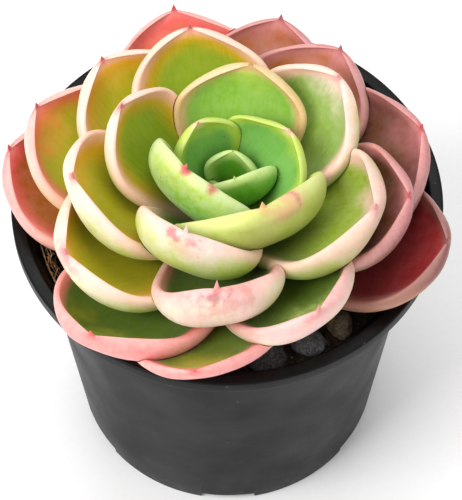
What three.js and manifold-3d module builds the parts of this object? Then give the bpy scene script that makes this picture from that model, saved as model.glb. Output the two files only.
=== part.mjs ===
// Potted succulent: a rosette of thick, cupped leaves on a short woody stem, planted in a
// round plastic nursery pot with potting mix and a few loose pebbles.
//
// Millimetres, +Z up. The origin is the middle of the pot's foot, on the surface that it
// stands on. Azimuths are in degrees, counted from +X towards +Y. Leaves are numbered from
// the youngest, in the middle of the rosette, to the oldest, outside.

import * as THREE from 'three';
import { mergeVertices } from 'three/addons/utils/BufferGeometryUtils.js';
import Module from 'manifold-3d';

const DEG = Math.PI / 180;
const GAP = 0.3;                 // clearance between pieces that touch

// ---- Pot ------------------------------------------------------------------------------
const POT_HEIGHT = 90;
const NECK_RADIUS = 49.6;        // outside of the wall, just under the flare
const POT_TAPER = 7.6;           // the foot's radius is smaller than the neck's by this
const FLARE_WIDTH = 3;           // the wall widens by this much, up to the ledge
const FLARE_HEIGHT = 9;
const RIM_LEDGE = 3.4;           // flat ring round the mouth
const LIP_SKIRT = 4;             // height of the ledge's turned-down edge
const WALL = 1.3;
const EDGE_ROUND = 0.6;          // rounding of the rim's two top edges
const FOOT_RING_WIDTH = 2.4;
const FLOOR_LIFT = 3;            // the floor stands this high, on its foot ring and pad
const PAD_RADIUS = 12;           // flat button in the middle of the floor
const NOTCH_COUNT = 6;
const NOTCH_FIRST = 30;          // azimuth
const NOTCH_WIDTH = 15;
const NOTCH_HEIGHT = 2.5;
const DRAIN_RADIUS = 3.5;
const DRAIN_INSET = 14;          // from the foot's edge in to the middle of each drain hole
const POT_SEGMENTS = 48;

// ---- Potting mix and pebbles ------------------------------------------------------------
const SOIL_DEPTH = 12;           // from the rim down to the mix
const SOIL_UNEVEN = 0.5;         // height of its humps
const STEM_ROOT = 8;             // how deep the stem stands in the mix
const PEBBLE_BEDDING = 0.3;      // share of a pebble's height that lies in the mix
const PEBBLE_FIRST = -77;        // azimuth of the first pebble, the others lie beside it
const PEBBLE_ROOM = 1.2;         // room for each pebble along the wall, as a share of its length
const PEBBLES = [
  { name: 'pebble_flat', long: 11, across: 9, high: 4, turn: 12, colour: 0x4a4a4e },
  { name: 'pebble_grey', long: 8.5, across: 8, high: 5, turn: -15, colour: 0x505257 },
  { name: 'pebble_tan', long: 7.5, across: 7, high: 5.5, turn: 20, colour: 0x7d7263 },
];

// ---- Rosette ----------------------------------------------------------------------------
const AXIS_X = 0.8;              // the plant stands a little in front of the pot's middle
const AXIS_Y = -4;
const LOWEST_LEAF = 3;           // height of the oldest leaf's root above the mix
const LEAF_SPAN = 14;            // height of stem that carries leaves
const STEM_RADIUS = 7;           // at the oldest leaves
const STEM_TIP_RADIUS = 1;       // at the youngest leaf
const TAPER_LEAVES = 8;          // the stem reaches its full radius after this many leaves
const STEM_SEGMENTS = 16;

const BUD_LENGTH = 10;           // length of the youngest leaf
const LENGTH_GAIN = 51;          // the oldest leaves are longer by this much
const LENGTH_RATE = 0.32;        // share of the rosette's age over which length is gained
const BUD_HALF_WIDTH = 5.2;      // half of the youngest leaf's width, along its cupped face
const HALF_WIDTH_GAIN = 17;
const WIDTH_RATE = 0.14;
const BUD_THICKNESS = 3;
const THICKNESS_GAIN = 3.6;
const THICKNESS_LEAVES = 10;     // full thickness is reached after this many leaves
const ROOT_LEAN_YOUNG = 80;      // angle of a leaf's root above level, youngest leaf
const ROOT_LEAN_OLD = -16;       // the same for a very old leaf
const ROOT_LEAN_RATE = 0.58;
const TIP_LEAN_YOUNG = 100;      // angle of a leaf's tip above level, youngest leaf
const TIP_LEAN_DROP = 20;        // the oldest leaf's tip lies this much flatter
const TIP_LEAN_POWER = 1.3;
const UPTURN_YOUNG = 2.5;        // how much a leaf bends near its tip rather than evenly
const UPTURN_GAIN = 2.5;         // the oldest leaf does so by this much more
const CUP = 78;                  // angle by which a leaf's side edges turn up
const CUPPING = 2;               // how much a cross-section bends near its edges

// Each leaf's azimuth, and how far it strays from the rules of growth: lean of its root and
// of its tip in degrees, length and half width in millimetres, cup and twist in degrees, and
// the sideways sweep of its tip in millimetres.
const LEAVES = [
  { azimuth: 236, root: -1, tip: -4, long: -3, cup: -11, twist: 14, sweep: -3 },
  { azimuth: 80, root: 4, long: 1, wide: -1.5 },
  { azimuth: 292, root: -2.5, tip: 4, long: 1.5, wide: 0.5, cup: -17, sweep: -2 },
  { azimuth: 27, root: -7.5, tip: -8, long: 3, wide: 1, cup: -17, twist: 15, sweep: -3 },
  { azimuth: 132, root: 4.5, tip: 8, long: -3, wide: -5, cup: -11, twist: -4, sweep: 1 },
  { azimuth: 225, root: 2, tip: 20, long: 2.5, wide: 1.5, cup: 4 },
  { azimuth: 290, root: -6.5, tip: 16, long: 6.5, wide: 5, cup: 6, twist: 5, sweep: -1 },
  { azimuth: 82, root: 2.5, tip: 2, long: -3, wide: -0.5, cup: -6, twist: -4, sweep: -2 },
  { azimuth: 163, root: 1.5, tip: 6, long: -0.5, wide: -3, cup: -20, twist: -10 },
  { azimuth: 249, root: -1.5, tip: 20, long: 3.5, wide: -2, cup: 8, twist: -6, sweep: 1 },
  { azimuth: 34, root: 3.5, long: -2.5, wide: -1.5 },
  { azimuth: 328, root: -1.5, tip: -2, long: 1.5, wide: 1, cup: 6, twist: 10, sweep: 1 },
  { azimuth: 197, root: 2.5, tip: 2, long: 0.5, wide: -0.5, cup: -11 },
  { azimuth: 104, root: 5, long: -4.5, wide: -1.5, cup: -6, twist: -8, sweep: 1 },
  { azimuth: 267, tip: 28, long: 4, wide: -3, cup: 12, twist: 15, sweep: -1 },
  { azimuth: 344, root: 2.5, tip: -2, long: -1.5, wide: -1.5, cup: -6, twist: 12, sweep: -1 },
  { azimuth: 137, root: 6, long: -4.5, cup: -6, sweep: 1 },
  { azimuth: 216, root: 4, long: -0.5, twist: -10 },
  { azimuth: 54, root: 5.5, tip: -4, long: -6.5, wide: -1, twist: -5, sweep: -2 },
  { azimuth: 295, root: 7.5, tip: 6, long: -1.5, wide: -2.5, cup: -6, twist: 14 },
  { azimuth: 161, root: 7, tip: 2, long: -1, cup: -3, twist: -10 },
  { azimuth: 12, root: 11, tip: 2, long: -4, wide: 2.5, cup: -17, twist: 4 },
  { azimuth: 235, root: 3.5, tip: 2, long: 2.5, wide: 0.5, cup: -8, twist: 10 },
  { azimuth: 75, root: 7, long: -4.5, wide: -1, twist: -6 },
  { azimuth: 337, root: 7.5, tip: 3.5, long: 0.5, wide: -1.5, cup: -11, twist: 10, sweep: 2 },
  { azimuth: 104, root: 7, long: -1, wide: 1, cup: -6, twist: -8, sweep: 1 },
  { azimuth: 171, root: 8.5, tip: 4, long: -1, wide: 1, cup: -11, twist: -10, sweep: -1 },
  { azimuth: 261, root: 15.5, tip: -14, long: -2.5, wide: -1.5, cup: -34, twist: 14 },
];

// ---- Shape of one leaf ------------------------------------------------------------------
const ROOT_WIDTH = 0.3;          // width at the root, as a share of the widest place
const WIDEST_AT = 0.6;           // share of the length
const ROOT_THICKNESS = 0.45;     // as a share of the thickest place
const THICKEST = 1.2;            // more brings the thickest place nearer the tip
const POINT_LENGTH = 0.045;      // the small point beyond the leaf's round end
const POINT_WIDTH = 0.085;       // its half width at the leaf's round end
const ROUNDNESS = 0.55;          // of an old leaf's outline: less is blunter
const BUD_SHARPNESS = 0.4;       // a bud's outline is more pointed by this much
const SHARPNESS_RATE = 0.1;      // share of the rosette's age over which that is lost
const EDGE_BLUNTNESS = 0.72;     // of the side edges: less is blunter
const FLESH_ABOVE = 0.42;        // share of the thickness on the inner face
const YIELD = 0.45;              // room that an older leaf leaves round a younger one
const EDGE_YIELD = 1.5;          // times that room past the thin side edges, which taper
const STEEPEST = 60;             // the rim raises a leaf's root no further than this lean
const ROOT_INSET = 1.5;          // a leaf starts this deep in the stem, which then cuts it
const LEAF_RINGS = [0, 0.15, 0.3, 0.45, 0.6, 0.7, 0.79, 0.87, 0.94, 1];
const LEAF_SIDES = 12;
const ARC_STEPS = 24;            // steps in the sum that gives a place on a bent line

const wasm = await Module();
wasm.setup();

// ---- Helpers ----------------------------------------------------------------------------

/** 0 below 0, 1 above 1, and a smooth step between. */
function smooth(x) {
  const t = Math.min(1, Math.max(0, x));
  return t * t * (3 - 2 * t);
}

/** A geometry with only positions and shared vertices, and no triangle of zero width. */
function welded(geometry) {
  geometry.deleteAttribute('normal');
  geometry.deleteAttribute('uv');
  const merged = mergeVertices(geometry, 1e-4);
  const kept = [];
  for (let i = 0; i < merged.index.count; i += 3) {
    const corners = [0, 1, 2].map((k) => merged.index.getX(i + k));
    if (new Set(corners).size === 3) kept.push(...corners);
  }
  merged.setIndex(kept);
  return merged;
}

/** A closed geometry as a solid for joining and cutting. */
function solid(geometry) {
  return new wasm.Manifold(new wasm.Mesh({
    numProp: 3,
    vertProperties: new Float32Array(geometry.attributes.position.array),
    triVerts: new Uint32Array(geometry.index.array),
  }));
}

/** A solid as a geometry. */
function toGeometry(body) {
  const mesh = body.getMesh();
  const geometry = new THREE.BufferGeometry();
  geometry.setAttribute('position', new THREE.BufferAttribute(new Float32Array(mesh.vertProperties), 3));
  geometry.setIndex(new THREE.BufferAttribute(new Uint32Array(mesh.triVerts), 1));
  return geometry;
}

/** The largest separate body of a solid. */
function largest(body) {
  return body.decompose().reduce((a, b) => (b.volume() > a.volume() ? b : a));
}

/** A closed solid of revolution about Z, from [radius, height] pairs that run upwards outside. */
function turned(profile, segments) {
  const points = profile.map(([r, z]) => new THREE.Vector2(r, z));
  const lathe = new THREE.LatheGeometry(points, segments);
  lathe.rotateX(Math.PI / 2);
  return welded(lathe);
}

/** A named mesh with its own material. */
function part(name, geometry, colour, roughness) {
  geometry.computeVertexNormals();
  const material = new THREE.MeshStandardMaterial({ color: colour, roughness, metalness: 0 });
  const mesh = new THREE.Mesh(geometry, material);
  mesh.name = name;
  return mesh;
}

// ---- Pot --------------------------------------------------------------------------------

const SOIL_TOP = POT_HEIGHT - SOIL_DEPTH;
const FOOT_RADIUS = NECK_RADIUS - POT_TAPER;
const THROAT_RADIUS = NECK_RADIUS + FLARE_WIDTH;
const RIM_RADIUS = THROAT_RADIUS + RIM_LEDGE;
const DRAIN_CIRCLE = FOOT_RADIUS - DRAIN_INSET;
const NECK_Z = POT_HEIGHT - FLARE_HEIGHT;
const FLOOR_TOP = FLOOR_LIFT + WALL;

/** Inside radius of the pot at a height. */
function insideRadius(z) {
  if (z <= NECK_Z) {
    return FOOT_RADIUS + ((NECK_RADIUS - FOOT_RADIUS) * z) / NECK_Z - WALL;
  }
  const share = (z - NECK_Z) / (POT_HEIGHT - NECK_Z);
  return NECK_RADIUS - WALL + (THROAT_RADIUS - NECK_RADIUS + WALL) * share;
}

/** The pot as a solid: foot ring and pad, wall, flare, flat ledge and turned-down lip. */
function makePot() {
  const profile = [
    [0, 0],
    [PAD_RADIUS, 0],
    [PAD_RADIUS + 1, FLOOR_LIFT],
    [FOOT_RADIUS - FOOT_RING_WIDTH, FLOOR_LIFT],
    [FOOT_RADIUS - WALL, 0],
    [FOOT_RADIUS, 0],
    [NECK_RADIUS, NECK_Z],
    [THROAT_RADIUS + WALL / 2, POT_HEIGHT - WALL],
    [RIM_RADIUS - WALL, POT_HEIGHT - WALL],
    [RIM_RADIUS - WALL, POT_HEIGHT - LIP_SKIRT],
    [RIM_RADIUS, POT_HEIGHT - LIP_SKIRT],
    [RIM_RADIUS, POT_HEIGHT - EDGE_ROUND],
    [RIM_RADIUS - EDGE_ROUND, POT_HEIGHT],
    [THROAT_RADIUS + EDGE_ROUND, POT_HEIGHT],
    [THROAT_RADIUS, POT_HEIGHT - EDGE_ROUND],
    [NECK_RADIUS - WALL, NECK_Z],
    [insideRadius(FLOOR_TOP), FLOOR_TOP],
    [0, FLOOR_TOP],
  ];
  let pot = solid(turned(profile, POT_SEGMENTS));
  for (let i = 0; i < NOTCH_COUNT; i += 1) {
    const azimuth = (NOTCH_FIRST + (360 / NOTCH_COUNT) * i) * DEG;
    const notch = new THREE.BoxGeometry(4 * FOOT_RING_WIDTH, NOTCH_WIDTH, 2 * NOTCH_HEIGHT);
    notch.translate(FOOT_RADIUS, 0, 0);
    notch.rotateZ(azimuth);
    pot = pot.subtract(solid(welded(notch)));
    const drain = new THREE.CylinderGeometry(DRAIN_RADIUS, DRAIN_RADIUS, 3 * FLOOR_TOP, 12);
    drain.rotateX(Math.PI / 2);
    drain.translate(DRAIN_CIRCLE * Math.cos(azimuth), DRAIN_CIRCLE * Math.sin(azimuth), 0);
    pot = pot.subtract(solid(welded(drain)));
  }
  return pot;
}

// ---- Stem -------------------------------------------------------------------------------

const CROWN_Z = SOIL_TOP + LOWEST_LEAF + LEAF_SPAN;

/** Height at which leaf number i grows from the stem. */
function leafHeight(i) {
  return CROWN_Z - (LEAF_SPAN * i) / (LEAVES.length - 1);
}

/** Radius of the stem where leaf number i grows from it. */
function leafSeat(i) {
  return STEM_TIP_RADIUS + (STEM_RADIUS - STEM_TIP_RADIUS) * Math.min(1, i / TAPER_LEAVES);
}

/** The stem, all of it larger by grow, standing in the mix. */
function makeStem(grow) {
  const shoulder = leafHeight(TAPER_LEAVES);
  const lathe = turned([
    [0, SOIL_TOP - STEM_ROOT - grow],
    [STEM_RADIUS * 0.7 + grow, SOIL_TOP - STEM_ROOT - grow],
    [STEM_RADIUS - GAP + grow, SOIL_TOP - STEM_ROOT / 2],
    [STEM_RADIUS - GAP + grow, shoulder + grow / 2],
    [STEM_TIP_RADIUS + grow, CROWN_Z + grow / 2],
    [0, CROWN_Z + GAP + grow],
  ], STEM_SEGMENTS);
  lathe.translate(AXIS_X, AXIS_Y, 0);
  return lathe;
}

// ---- Pebbles ----------------------------------------------------------------------------

/** Distance from the pot's axis to the middle of a pebble that lies against the wall. */
function pebbleRadius(stone) {
  const reach = 0.58 * Math.max(stone.across, 0.8 * stone.long);
  return insideRadius(SOIL_TOP) - reach - 2 * GAP;
}

/** Azimuth of pebble number i, in radians: the pebbles lie side by side along the wall. */
function pebbleAzimuth(i) {
  let along = 0;
  for (let k = 1; k <= i; k += 1) {
    along += (PEBBLE_ROOM * (PEBBLES[k - 1].long + PEBBLES[k].long)) / (2 * pebbleRadius(PEBBLES[k]));
  }
  return PEBBLE_FIRST * DEG + along;
}

/** Pebble number i: rounded, slightly uneven, larger by grow, bedded in the mix by the wall. */
function makePebble(i, grow) {
  const stone = PEBBLES[i];
  const ball = welded(new THREE.SphereGeometry(0.5, 12, 8));
  const position = ball.attributes.position;
  for (let k = 0; k < position.count; k += 1) {
    const p = new THREE.Vector3().fromBufferAttribute(position, k);
    const uneven = 1 + 0.09 * Math.sin(7 * p.x + 5 * p.y + stone.turn) + 0.06 * Math.cos(9 * p.z - 4 * p.x);
    position.setXYZ(k, p.x * uneven, p.y * uneven, p.z * uneven);
  }
  ball.scale(stone.across + 2 * grow, stone.long + 2 * grow, stone.high + 2 * grow);
  ball.rotateZ(stone.turn * DEG);
  ball.translate(pebbleRadius(stone), 0, SOIL_TOP + stone.high * (0.5 - PEBBLE_BEDDING));
  ball.rotateZ(pebbleAzimuth(i));
  return ball;
}

// ---- Potting mix ------------------------------------------------------------------------

/** The potting mix as a solid: uneven on top, with sockets for the stem and the pebbles. */
function makeSoil() {
  const bottom = FLOOR_TOP + GAP;
  const edge = insideRadius(SOIL_TOP) - GAP - SOIL_UNEVEN;
  const rings = [0.97, 0.8, 0.6, 0.4, 0.2];
  const profile = [
    [0, bottom],
    [insideRadius(bottom) - GAP, bottom],
    [edge, SOIL_TOP - 1],
    ...rings.map((share) => [edge * share, SOIL_TOP]),
    [0, SOIL_TOP],
  ];
  const soil = turned(profile, POT_SEGMENTS);
  const position = soil.attributes.position;
  for (let i = 0; i < position.count; i += 1) {
    const p = new THREE.Vector3().fromBufferAttribute(position, i);
    if (p.z > SOIL_TOP - 0.5) {
      const hump = Math.sin(0.31 * p.x + 1.3) * Math.cos(0.27 * p.y) + 0.6 * Math.sin(0.5 * p.x - 0.45 * p.y);
      position.setZ(i, p.z + SOIL_UNEVEN * 0.6 * hump);
    }
  }
  let mix = solid(soil).subtract(solid(makeStem(GAP)));
  PEBBLES.forEach((stone, i) => {
    mix = mix.subtract(solid(makePebble(i, GAP)));
  });
  return largest(mix);
}

// ---- Leaves -----------------------------------------------------------------------------

/** Sizes and angles of leaf number i, by the rules of growth and its own strays. */
function leafSizes(i) {
  const age = i / (LEAVES.length - 1);
  const { azimuth, root = 0, tip = 0, long = 0, wide = 0, cup = 0, twist = 0, sweep = 0 } = LEAVES[i];
  const rootLean = ROOT_LEAN_OLD + (ROOT_LEAN_YOUNG - ROOT_LEAN_OLD) * Math.exp(-age / ROOT_LEAN_RATE);
  return {
    azimuth: azimuth * DEG,
    seat: leafSeat(i),
    height: leafHeight(i),
    rootLean: rootLean + root,
    upturn: UPTURN_YOUNG + UPTURN_GAIN * age,
    tipLean: TIP_LEAN_YOUNG - TIP_LEAN_DROP * age ** TIP_LEAN_POWER + tip,
    length: BUD_LENGTH + LENGTH_GAIN * (1 - Math.exp(-age / LENGTH_RATE)) + long,
    halfWidth: BUD_HALF_WIDTH + HALF_WIDTH_GAIN * (1 - Math.exp(-age / WIDTH_RATE)) + wide,
    thickness: BUD_THICKNESS + THICKNESS_GAIN * Math.min(1, i / THICKNESS_LEAVES),
    sharpness: ROUNDNESS + BUD_SHARPNESS * Math.exp(-age / SHARPNESS_RATE),
    cup: (CUP + cup) * DEG,
    twist: twist * DEG,
    sweep,
  };
}

/** Forward distance, height and lean at a share of a bent line of length 1, whose lean goes
 *  from start to end as share ** power, by the midpoint rule. */
function bentLine(start, end, power, share) {
  let forward = 0;
  let height = 0;
  for (let k = 0; k < ARC_STEPS; k += 1) {
    const lean = start + (end - start) * ((share * (k + 0.5)) / ARC_STEPS) ** power;
    forward += (share * Math.cos(lean)) / ARC_STEPS;
    height += (share * Math.sin(lean)) / ARC_STEPS;
  }
  return { forward, height, lean: start + (end - start) * share ** power };
}

/** Outward distance, height and lean of the leaf's midrib at share s of its length: a line that
 *  bends most near its round end, and is straight before the root and beyond the end. */
function midrib(leaf, s) {
  const on = Math.min(1, Math.max(0, s));
  const line = bentLine(leaf.rootLean * DEG, leaf.tipLean * DEG, leaf.upturn, on);
  return {
    out: leaf.seat + leaf.length * (line.forward + (s - on) * Math.cos(line.lean)),
    up: leaf.height + leaf.length * (line.height + (s - on) * Math.sin(line.lean)),
    lean: line.lean,
  };
}

/** Where a section at share s lies on a leaf that is longer by grow at its tip and its root. */
function stretched(leaf, s, grow) {
  return s + ((s < 0 ? -1 : s) * grow) / leaf.length;
}

/** One cross-section of the leaf at share s of its length, as points in order round it. The
 *  section is a lens with its edges turned up: flat across its inner face, full on its back. */
function leafSection(leaf, s, grow) {
  const inside = Math.min(1, Math.max(0, s));
  const quarter = (Math.PI / 2) * Math.min(1, inside / WIDEST_AT);
  const rise = ROOT_WIDTH + (1 - ROOT_WIDTH) * Math.sin(quarter) ** 0.9;
  const past = Math.max(0, (inside - WIDEST_AT) / (1 - WIDEST_AT));
  const body = leaf.halfWidth * rise * (1 - past ** 2) ** leaf.sharpness;
  const narrowing = Math.max(0, (1 + POINT_LENGTH - s) / 0.1);
  const point = leaf.halfWidth * POINT_WIDTH * smooth((s - 0.85) / 0.1) * narrowing;
  const width = Math.hypot(body, point);
  const fullness = ROOT_THICKNESS + (1 - ROOT_THICKNESS) * Math.sin(Math.PI * inside ** THICKEST) ** 0.8;
  const flesh = leaf.thickness * fullness * Math.sqrt(1 - inside ** 8);
  const thickness = Math.hypot(flesh, point);
  const curl = leaf.cup * (0.55 + 0.45 * smooth(inside / 0.5));
  const rib = midrib(leaf, stretched(leaf, s, grow));
  const points = [];
  for (let k = 0; k < LEAF_SIDES; k += 1) {
    const turn = (2 * Math.PI * k) / LEAF_SIDES;
    const across = Math.cos(turn);
    const side = Math.sin(turn);
    const share = side > 0 ? FLESH_ABOVE : 1 - FLESH_ABOVE;
    const skin = Math.sign(side) * Math.abs(side) ** EDGE_BLUNTNESS * (share * thickness + grow);
    const line = bentLine(0, curl, CUPPING, Math.abs(across));
    const stretch = EDGE_YIELD * grow * across ** 2;
    const bent = width * line.forward + stretch * Math.cos(line.lean) - skin * Math.sin(line.lean);
    const sway = Math.sign(across) * bent;
    const lift = width * line.height + stretch * Math.sin(line.lean) + skin * Math.cos(line.lean);
    const roll = leaf.twist * inside;
    const sideways = sway * Math.cos(roll) - lift * Math.sin(roll) + leaf.sweep * inside ** 2;
    const normal = sway * Math.sin(roll) + lift * Math.cos(roll);
    const out = rib.out - Math.sin(rib.lean) * normal;
    points.push([
      AXIS_X + out * Math.cos(leaf.azimuth) - sideways * Math.sin(leaf.azimuth),
      AXIS_Y + out * Math.sin(leaf.azimuth) + sideways * Math.cos(leaf.azimuth),
      rib.up + Math.cos(rib.lean) * normal,
    ]);
  }
  return points;
}

/** A closed leaf, all of it larger by grow: sections along the midrib, a flat root and a point. */
function leafGeometry(leaf, grow) {
  const stations = [-ROOT_INSET / leaf.length, ...LEAF_RINGS];
  const vertices = stations.flatMap((s) => leafSection(leaf, s, grow));
  const place = (rib, sideways) => [
    AXIS_X + rib.out * Math.cos(leaf.azimuth) - sideways * Math.sin(leaf.azimuth),
    AXIS_Y + rib.out * Math.sin(leaf.azimuth) + sideways * Math.cos(leaf.azimuth),
    rib.up,
  ];
  vertices.push(place(midrib(leaf, stretched(leaf, stations[0], grow)), 0));
  vertices.push(place(midrib(leaf, stretched(leaf, 1 + POINT_LENGTH, grow)), leaf.sweep));
  const root = vertices.length - 2;
  const tip = vertices.length - 1;
  const last = (stations.length - 1) * LEAF_SIDES;
  const faces = [];
  for (let k = 0; k < LEAF_SIDES; k += 1) {
    const next = (k + 1) % LEAF_SIDES;
    faces.push(root, next, k);
    faces.push(tip, last + k, last + next);
    for (let ring = 0; ring < last; ring += LEAF_SIDES) {
      faces.push(ring + k, ring + next, ring + LEAF_SIDES + k);
      faces.push(ring + next, ring + LEAF_SIDES + next, ring + LEAF_SIDES + k);
    }
  }
  const geometry = new THREE.BufferGeometry();
  geometry.setAttribute('position', new THREE.Float32BufferAttribute(vertices.flat(), 3));
  geometry.setIndex(faces);
  return geometry;
}

/** A leaf's sizes, with its root raised until it lies on the rim or the mix, not in them. */
function settled(i, supports) {
  const leaf = leafSizes(i);
  const rests = () => {
    const body = solid(leafGeometry(leaf, GAP));
    return supports.some((support) => body.intersect(support).volume() > 1e-6);
  };
  while (leaf.rootLean < STEEPEST && rests()) leaf.rootLean += 0.5;
  return leaf;
}

/** Colour of leaf number i: green in the middle, then yellow-green, cream-pink and coral. */
function leafColour(i) {
  const green = new THREE.Color(0x7fb548);
  const cream = new THREE.Color(0xdcc98e);
  const coral = new THREE.Color(0xdf7f7c);
  const age = i / (LEAVES.length - 1);
  return age < 0.5 ? green.lerp(cream, age / 0.5) : cream.lerp(coral, (age - 0.5) / 0.5);
}

/** All leaves, youngest first, resting on the supports where they reach them. Each gives way
 *  to the stem and to every younger leaf. */
function makeLeaves(supports) {
  let taken = solid(makeStem(GAP));
  return LEAVES.map((stray, i) => {
    const leaf = settled(i, supports);
    const body = largest(solid(leafGeometry(leaf, 0)).subtract(taken));
    taken = taken.add(solid(leafGeometry(leaf, YIELD)));
    const name = `leaf_${String(i + 1).padStart(2, '0')}`;
    return part(name, toGeometry(body), leafColour(i), 0.45);
  });
}

// ---- Assembly ---------------------------------------------------------------------------

const pot = makePot();
const mix = makeSoil();
const group = new THREE.Group();
group.name = 'potted_succulent';
group.add(part('pot', toGeometry(pot), 0x2f3031, 0.55));
group.add(part('soil', toGeometry(mix), 0x1d1713, 0.95));
group.add(part('stem', makeStem(0), 0x8a8250, 0.7));
PEBBLES.forEach((stone, i) => {
  group.add(part(stone.name, makePebble(i, 0), stone.colour, 0.8));
});
group.add(...makeLeaves([pot, mix]));

export default group;
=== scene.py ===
"""Potted succulent: a rosette of cupped leaves in a round nursery pot, with mix, roots and pebbles.

Sizes in the classes are in millimetres, and meshes are written in metres. Azimuths are in
degrees from +X towards +Y. Leaves are numbered from the youngest, in the middle.
"""

import logging
import math
from dataclasses import dataclass, field
from enum import Enum
from typing import Optional, Sequence

import bmesh
import bpy
import numpy as np
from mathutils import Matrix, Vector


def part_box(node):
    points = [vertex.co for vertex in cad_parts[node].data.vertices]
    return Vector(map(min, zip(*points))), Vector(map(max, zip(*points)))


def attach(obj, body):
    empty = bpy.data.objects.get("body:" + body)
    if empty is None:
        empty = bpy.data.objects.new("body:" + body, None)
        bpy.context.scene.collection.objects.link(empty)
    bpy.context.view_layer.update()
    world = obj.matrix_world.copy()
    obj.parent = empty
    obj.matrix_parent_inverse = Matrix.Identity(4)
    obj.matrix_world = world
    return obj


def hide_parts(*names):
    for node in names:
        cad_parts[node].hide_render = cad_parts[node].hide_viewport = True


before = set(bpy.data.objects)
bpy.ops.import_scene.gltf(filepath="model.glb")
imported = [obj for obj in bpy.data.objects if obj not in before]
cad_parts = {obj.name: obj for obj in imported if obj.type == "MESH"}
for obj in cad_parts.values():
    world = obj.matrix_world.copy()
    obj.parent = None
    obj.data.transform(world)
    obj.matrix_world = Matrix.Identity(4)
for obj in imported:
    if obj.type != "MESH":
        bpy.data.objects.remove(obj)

LOG = logging.getLogger("potted_succulent")
MM = 0.001
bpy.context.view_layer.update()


# ---- Numbers shared by the pieces ---------------------------------------------------------


def clamped(value: np.ndarray) -> np.ndarray:
    """Values held between 0 and 1."""
    return np.clip(value, 0.0, 1.0)


def smooth(value: np.ndarray) -> np.ndarray:
    """0 below 0, 1 above 1, and 3t^2 - 2t^3 between."""
    share = clamped(value)
    return share * share * (3.0 - 2.0 * share)


def waves(points: np.ndarray, length: float, seed: int, count: int = 24) -> np.ndarray:
    """Smooth random heights: the mean of sine waves that run in random directions.

    Args:
        points: Places in millimetres, with x, y and z along the last axis.
        length: Typical wavelength in millimetres.
        seed: Chooses the directions and the phases.
        count: How many waves are added.

    Returns:
        Heights of about -1 to 1, one for each place.
    """
    draw = np.random.default_rng(seed)
    heading = draw.normal(size=(count, 3))
    heading /= np.linalg.norm(heading, axis=1, keepdims=True)
    heading *= 2.0 * math.pi / (length * draw.uniform(0.7, 1.5, (count, 1)))
    phase = draw.uniform(0.0, 2.0 * math.pi, count)
    return np.sin(points @ heading.T + phase).sum(axis=-1) / math.sqrt(count / 2.0)


def arc(start: object, end: object, power: float,
        share: np.ndarray) -> tuple[np.ndarray, np.ndarray, np.ndarray]:
    """A curve of length 1 whose lean goes from start to end as share ** power.

    Args:
        start: Lean at the beginning, in radians.
        end: Lean at the end, in radians.
        power: 1 for a circular arc, more for a curve that bends most at its end.
        share: Places along the curve.

    Returns:
        Forward distance, height and lean at each place, by the midpoint rule.
    """
    steps = (np.arange(32) + 0.5) / 32.0
    lean = start + (end - start) * share**power
    reached = (share[..., None] * steps) ** power
    between = np.asarray(start)[..., None] + np.asarray(end - start)[..., None] * reached
    return share * np.cos(between).mean(axis=-1), share * np.sin(between).mean(axis=-1), lean


def node_box(node: str) -> tuple[np.ndarray, np.ndarray]:
    """Lowest and highest corner of a CAD node, in millimetres."""
    low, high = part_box(node)
    return np.array(low) / MM, np.array(high) / MM


# ---- Meshes -------------------------------------------------------------------------------


@dataclass
class Skin:
    """A closed surface: rings of points that are joined in order, and a pole at each end.

    Attributes:
        rings: Points in millimetres, shape (rings, sides, 3).
        poles: Places of the first and the last pole.
        maps: Two numbers for each point of each ring, for every named map.
    """

    rings: np.ndarray
    poles: tuple[np.ndarray, np.ndarray]
    maps: dict[str, np.ndarray] = field(default_factory=dict)

    def corners(self) -> tuple[np.ndarray, np.ndarray]:
        """Quads between neighbouring rings, and triangles from the end rings to the poles."""
        count, sides = self.rings.shape[:2]
        grid = np.arange(count * sides).reshape(count, sides)
        beside = np.roll(grid, -1, axis=1)
        quads = np.stack([grid[:-1], beside[:-1], beside[1:], grid[1:]], axis=-1).reshape(-1, 4)
        start, end = count * sides, count * sides + 1
        first = np.stack([beside[0], grid[0], np.full(sides, start)], axis=-1)
        last = np.stack([grid[-1], beside[-1], np.full(sides, end)], axis=-1)
        return quads, np.concatenate([first, last])

    def mesh(self, name: str) -> bpy.types.Mesh:
        """Writes the surface as a mesh in metres, with its faces outwards.

        Args:
            name: Name of the mesh.

        Returns:
            The mesh, smooth shaded, with its maps as UV maps.
        """
        points = np.concatenate([self.rings.reshape(-1, 3), np.array(self.poles)])
        quads, fans = self.corners()
        body = write_mesh(name, points, quads, fans)
        order = np.empty(len(body.loops), dtype=np.int32)
        body.loops.foreach_get("vertex_index", order)
        for label, grid in self.maps.items():
            ends = np.stack([grid[0].mean(axis=0), grid[-1].mean(axis=0)])
            flat = np.concatenate([grid.reshape(-1, 2), ends])
            layer = body.uv_layers.new(name=label)
            layer.data.foreach_set("uv", flat[order].astype(np.float32).ravel())
        return body


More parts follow.
